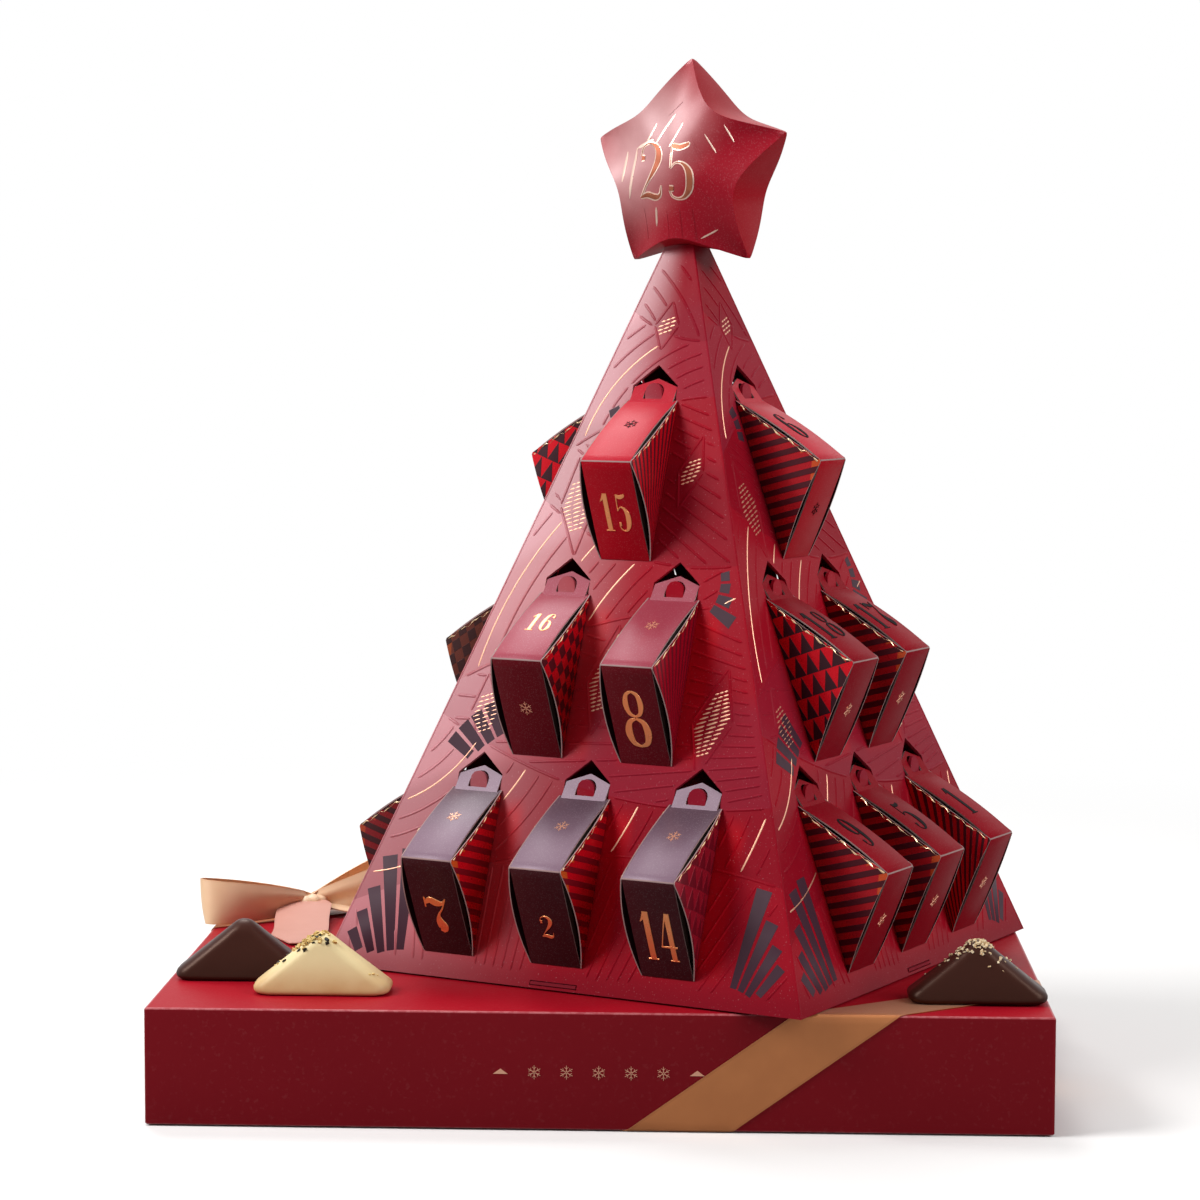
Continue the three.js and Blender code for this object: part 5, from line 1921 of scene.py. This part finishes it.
def loop_surface(reach, heading, lift, steps=64):
    """The middle surface of a loop: gathered in folds at the neck, slightly cupped outside."""
    turn = np.linspace(0, 2 * math.pi, steps, endpoint=False)
    opened = (1 - np.cos(turn)) / 2
    along = reach * opened
    aside = -LOOP_FATNESS * np.sin(turn) * opened**0.6
    tall = BOW_NECK + (LOOP_HEIGHT - BOW_NECK) * opened**0.7
    lean = LOOP_LEAN * tall * opened
    cos, sin = math.cos(heading), math.sin(heading)
    lean = lean * math.copysign(1, cos)
    z = np.maximum(KNOT[2] + lift * opened, LOOP_LYING + tall / 2)
    at = np.column_stack([KNOT[0] + along * cos - aside * sin, KNOT[1] + along * sin + aside * cos, z])
    across = np.column_stack([-lean * sin, lean * cos, tall])
    q = np.linspace(-0.5, 0.5, ACROSS_STEPS)
    grid = at[:, None] + q[None, :, None] * across[:, None]
    out = surface_normals(grid, True)
    outside = -np.sign(np.sin(turn) + 1e-9)[:, None, None] * np.array([-sin, cos, 0.0])
    gather = (1 - opened) ** 2
    folds = 0.9 * gather[:, None] * np.sin(q[None, :] * 3 * math.pi)
    cup = 2.4 * opened[:, None] * (1 - 4 * q[None, :] ** 2) * np.abs(np.sin(turn))[:, None] ** 0.5
    ripple = 0.3 * (1 - gather[:, None]) * np.sin(q[None, :] * 2.4 + turn[:, None] * 3)
    length = np.linalg.norm(np.roll(at, -1, 0) - at, axis=1).sum()
    return grid + out * (folds + ripple)[..., None] + outside * cup[..., None], length


def tail_surface(heading, path, steps=42):
    """The middle surface of a tail: gathered at the knot, cut to a point from its last point
    but one."""
    line = smooth_line(path, steps)
    width = np.clip(line[:, 3], 0.6, RIBBON_WIDTH)
    straight = len(path) - 2
    share = np.linspace(0, len(path) - 1, steps)
    pointed = RIBBON_WIDTH * (len(path) - 1 - share) + path[-1][3] * (share - straight)
    width = np.where(share >= straight, pointed, width)
    at = np.column_stack([KNOT[:2] + line[:, :2], BOW_LYING + np.maximum(line[:, 2], 0)])
    across = np.array([-math.sin(heading), math.cos(heading), 0])
    q = np.linspace(-0.5, 0.5, ACROSS_STEPS)
    grid = at[:, None] + q[None, :, None] * width[:, None, None] * across
    narrow = np.clip(1 - width / RIBBON_WIDTH, 0, 1) * (share < straight)
    grid[..., 2] += np.maximum(narrow[:, None] * 0.9 * np.cos(q[None, :] * 5 * math.pi), -0.3)
    grid[..., 2] += 0.3 * ease(line[:, 2] / 1.5)[:, None] * (1 - 4 * q[None, :] ** 2)
    length = np.linalg.norm(np.diff(at, axis=0), axis=1).sum()
    return grid, length


def add_band(skin, surface, closed, finish):
    """Adds a loop or a tail with its thickness. Returns its length."""
    middle, length = surface
    grid, faces = thick_sheet(middle, surface_normals(middle, closed), BOW_THICKNESS, closed)
    q = np.linspace(-0.5, 0.5, ACROSS_STEPS) * RIBBON_WIDTH
    run = np.linspace(0, length, len(grid))
    flat = np.stack(np.broadcast_arrays(np.concatenate([q, q[::-1]])[None, :], run[:, None]), -1)
    skin.add(grid, faces, finish, flat)
    return length


def knot_points():
    """The knot: a short fat ring of ribbon, pinched where it passes over, with three folds."""
    around = np.linspace(0, 2 * math.pi, 40, endpoint=False)
    q = np.linspace(-1, 1, 17)
    lengthwise = np.array([math.cos(STRAND), math.sin(STRAND), 0.0])
    sideways = np.array([-math.sin(STRAND), math.cos(STRAND), 0.0])
    waist = 1 - 0.42 * np.abs(q) ** 2.6
    folds = 1 + 0.05 * np.cos(q * 3 * math.pi)
    x = KNOT_HALF_LENGTH * q
    wide = (KNOT_HALF_WIDTH * waist * folds)[:, None] * np.cos(around)
    tall = (KNOT_HALF_HEIGHT * waist * folds)[:, None] * np.sin(around)
    centre = KNOT + [0, 0, 0.1]
    grid = centre + x[:, None, None] * lengthwise + wide[..., None] * sideways
    grid[..., 2] += tall
    flat = np.stack(np.broadcast_arrays(q[:, None] * 8, around[None, :] * 4), -1)
    return grid, capped(len(q), len(around)), flat


def make_bow():
    """Loops, tails and knot in one mesh. Returns it and the ribbon's length in it."""
    skin = Skin()
    total = sum(add_band(skin, loop_surface(*loop), True, 0) for loop in LOOPS)
    total += sum(add_band(skin, tail_surface(*tail[:2]), False, tail[2]) for tail in TAILS)
    grid, faces, flat = knot_points()
    skin.add(grid, faces, 0, flat)
    bow = skin.piece("ribbon_bow_tied", "gift_box", [PAINTED_LIGHT_BOW_SATIN, PAINTED_SHEEN_TAIL_SATIN], sharp=60)
    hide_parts("ribbon_bow")
    print("bow ribbon:", round(total), "mm, faces:", len(bow.data.polygons))
    return bow, total


bow, bow_length = make_bow()
bow_length * MM

# %% [markdown]
# ## The three loose pralines
#
# Each is a rounded prism. Seen from the front it is a low triangle whose corners are
# arcs, and seen from above it is a rounded rectangle that narrows towards the top. A
# bevel would round all edges alike, so half length and half depth are formulas of the
# height. Chips of nut fall on two of the pralines, so they lie where real ones land.

# %% The body of a praline
PRALINE_HEIGHT = 20.8
FOOT_PLACE, FOOT_ROUND = np.array([22.0, 2.0]), 2.0
PEAK_PLACE, PEAK_ROUND = 15.31, 5.5
INCLINE = math.radians(39)
FRONT_HALF = 9.6
DEPTH_TAPER = 0.25
FOOT_BEVEL, FOOT_INSET = 1.6, 1.1
CROWN_START = 16.4
CORNER_ROUND = 5.2


def praline_half_length(z):
    """Half of its length at the height z: foot arc, straight slope and peak arc."""
    foot_end = FOOT_PLACE + FOOT_ROUND * np.array([math.sin(INCLINE), math.cos(INCLINE)])
    peak_start = np.array([PEAK_ROUND * math.sin(INCLINE), PEAK_PLACE + PEAK_ROUND * math.cos(INCLINE)])
    foot = FOOT_PLACE[0] + np.sqrt(np.clip(FOOT_ROUND**2 - (z - FOOT_PLACE[1]) ** 2, 0, None))
    slope = foot_end[0] - (z - foot_end[1]) * (foot_end[0] - peak_start[0]) / (peak_start[1] - foot_end[1])
    peak = np.sqrt(np.clip(PEAK_ROUND**2 - (z - PEAK_PLACE) ** 2, 0.04, None))
    return np.where(z < foot_end[1], foot, np.where(z < peak_start[1], slope, peak))


def praline_half_depth(z):
    """Half of its depth at the height z: it tapers, and is rounded at foot and crown."""
    straight = FRONT_HALF - DEPTH_TAPER * z
    over = np.sqrt(np.clip(1 - ((z - CROWN_START) / (PRALINE_HEIGHT - CROWN_START)) ** 2, 0.0004, None))
    under = FOOT_INSET * (1 - np.sqrt(np.clip(1 - ((FOOT_BEVEL - z) / FOOT_BEVEL) ** 2, 0, 1)))
    return np.where(z > CROWN_START, straight * over, np.where(z < FOOT_BEVEL, straight - under, straight))


def praline_grid():
    """Rounded rectangles of points, closer together at the foot and the crown."""
    foot, sides = [0, 0.12, 0.4, 0.9, 1.6], np.linspace(2.4, 17.2, 16)
    crown = PRALINE_HEIGHT - 3.2 * np.linspace(1, 0.02, 12) ** 2.2
    heights = np.concatenate([foot, sides, crown])
    rings = []
    for z in heights:
        half = np.array([praline_half_length(z), praline_half_depth(z)])
        corner = min(CORNER_ROUND, 0.9 * half.min())
        loop = rounded_loop(half, corner, arc=7, sides=9)
        rings.append(np.column_stack([loop, np.full(len(loop), z)]))
    return np.stack(rings)


# %% Crumbs on a praline
def crumb(rng, size):
    """A chip of nut: a box whose eight corners are moved at random."""
    corners = np.array([[x, y, z] for z in (-1, 1) for x, y in ((-1, -1), (1, -1), (1, 1), (-1, 1))], float)
    corners = corners * [1.0, 0.75, 0.5] + rng.uniform(-0.28, 0.28, (8, 3))
    turn, tilt = rng.uniform(0, 2 * math.pi), rng.uniform(-0.9, 0.9)
    cos, sin = math.cos(tilt), math.sin(tilt)
    tipped = corners @ np.array([[cos, 0, -sin], [0, 1, 0], [sin, 0, cos]])
    return (tipped @ about_z(turn).T) * size, capped(2, 4)


# %% A praline with its crumbs
def make_praline(node, body, crumbs, finishes, slot, seed):
    """A praline where its node stands. Crumbs fall on it along a line that may lean."""
    low, high = (np.array(corner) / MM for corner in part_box(node))
    place = np.array([(low[0] + high[0]) / 2, (low[1] + high[1]) / 2, low[2]])
    grid = praline_grid()
    skin = Skin()
    skin.add(grid + place, capped(*grid.shape[:2]), 0)
    tree = BVHTree.FromPolygons(grid.reshape(-1, 3).tolist(), capped(*grid.shape[:2]))
    rng = np.random.default_rng(seed)
    for count, lean, (x, spread_x), (y, spread_y), (small, large), finish in crumbs:
        falling = np.array([0.0, math.sin(lean), -math.cos(lean)])
        for _ in range(count):
            at = np.append(rng.normal((x, y), (spread_x, spread_y)), PRALINE_HEIGHT)
            hit, normal = tree.ray_cast((at - 60 * falling).tolist(), falling.tolist())[:2]
            if hit is None or hit.z < 0.5:
                continue
            size = rng.uniform(small, large)
            points, faces = crumb(rng, size)
            skin.add(points + np.array(hit) + np.array(normal) * size * 0.18 + place, faces, finish)
    made = skin.piece(node + "_praline", body, finishes, sharp=40)
    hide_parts(node)
    return len(made.data.polygons)


# %% Chocolate and crumbs
COCOA_GLOSS = (1.0, 0.66, 0.5)


def chocolate(name, colour, low_colour, roughness, gloss=(1.0, 0.92, 0.8)):
    """Chocolate: satin, faintly cloudy, with a warmer tone near its foot."""
    finish = Finish(name, Specular_IOR_Level=0.2, Specular_Tint=gloss)
    place = finish.place()
    height = finish.node("SeparateXYZ", values={"Vector": place}, output=2)
    near_foot = 1 - (height * 1000).above(47.5, 13.0)
    cloud = finish.noise(0.01, place, 3.0)
    finish.feed("Base Color", finish.mix(near_foot * (cloud * 0.6 + 0.3), colour, low_colour))
    finish.feed("Roughness", cloud * 0.2 + roughness - 0.1)
    waves = finish.noise(0.006, place, 1.0) + finish.noise(0.0008, place, 1.0) * 0.06
    finish.feed("Normal", finish.bump(waves, 0.0004, 0.4))
    return finish


def grains(name, colour, dark):
    """A rough crumb with fine spots."""
    finish = Finish(name, Roughness=0.6, Specular_IOR_Level=0.3)
    place = finish.place()
    spots = finish.noise(0.0009, place, 2.0)
    finish.feed("Base Color", finish.mix(spots.above(0.5, 0.3), colour, dark))
    finish.feed("Normal", finish.bump(spots, 0.0003, 0.6))
    return finish


DARK_CHOCOLATE = chocolate("dark_chocolate", paint(54, 25, 20), paint(40, 16, 11), 0.34, COCOA_GLOSS)
WHITE_CHOCOLATE = chocolate("white_chocolate", paint(232, 212, 162), paint(176, 118, 58), 0.42)
NUT_CRUMB = grains("nut_crumb", paint(226, 200, 132), paint(190, 150, 80))
SEED_CRUMB = grains("seed_crumb", paint(38, 34, 20), paint(16, 14, 10))
PALE_CRUMB = grains("pale_crumb", paint(238, 222, 190), paint(206, 170, 120))
PISTACHIO_CRUMBS = (
    # count, lean of the fall, middle and spread across, the same in depth, sizes, finish
    (26, 0.2, (-3.0, 3.2), (-2.0, 2.2), (0.45, 1.0), 1),
    (22, 0.8, (-4.0, 3.4), (-4.0, 2.4), (0.4, 0.9), 1),
    (14, 0.7, (-4.0, 4.4), (-4.0, 3.0), (0.4, 0.85), 2),
    (4, 0.9, (-16.0, 4.0), (-12.0, 3.0), (0.4, 0.7), 2),
    (6, 0.9, (-16.0, 4.5), (-12.0, 3.0), (0.35, 0.6), 1),
    (3, 0.9, (19.0, 2.0), (-22.0, 2.0), (0.3, 0.6), 1),
)
NUT_SPRINKLES = (
    (64, 0.25, (0.0, 4.6), (-1.5, 2.4), (0.35, 0.7), 1),
    (44, 0.9, (1.0, 5.5), (-5.5, 3.0), (0.3, 0.6), 1),
    (8, 0.9, (4.0, 9.0), (-12.0, 4.0), (0.25, 0.45), 1),
)
LOOSE = (
    # node, its crumbs, its finishes, its slot
    ("praline_dark_plain", (), [DARK_CHOCOLATE], "chocolate_dark"),
    (
        "praline_white_pistachio", PISTACHIO_CRUMBS,
        [WHITE_CHOCOLATE, NUT_CRUMB, SEED_CRUMB], "chocolate_white",
    ),
    ("praline_dark_nut_sprinkle", NUT_SPRINKLES, [DARK_CHOCOLATE, PALE_CRUMB], "chocolate_dark"),
)
for seed, (node, crumbs, finishes, slot_name) in enumerate(LOOSE):
    faces = make_praline(node, node + "_loose", crumbs, finishes, slot_name, seed + 3)
    print(node, "faces:", faces)

# %% [markdown]
# ## Pieces that stay as modelled
#
# The tray, the tree's floor and tongue, and the pralines inside the boxes and the star
# are hidden or nearly so. A finer mesh would hardly show, so these pieces keep their
# modelled shape and get a finish of their own.

# %% Finish the other nodes
TREE_FLOOR_CARD = plain_card("tree_floor_card", paint(132, 26, 42), 0.55)
INNER_CHOCOLATE = chocolate("inner_chocolate", paint(50, 28, 24), paint(38, 18, 14), 0.34)
STAYING = {"gift_tray": GREY_BOARD, "tree_floor": TREE_FLOOR_CARD, "star_tongue": TREE_FLOOR_CARD}
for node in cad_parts:
    if node in STAYING or node == "star_praline" or (node.startswith("praline_") and node[8:].isdigit()):
        finish = STAYING.get(node, INNER_CHOCOLATE)
        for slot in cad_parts[node].material_slots:
            slot.material = finish.material
print("nodes with a finish only:", sum(not o.hide_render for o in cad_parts.values()))
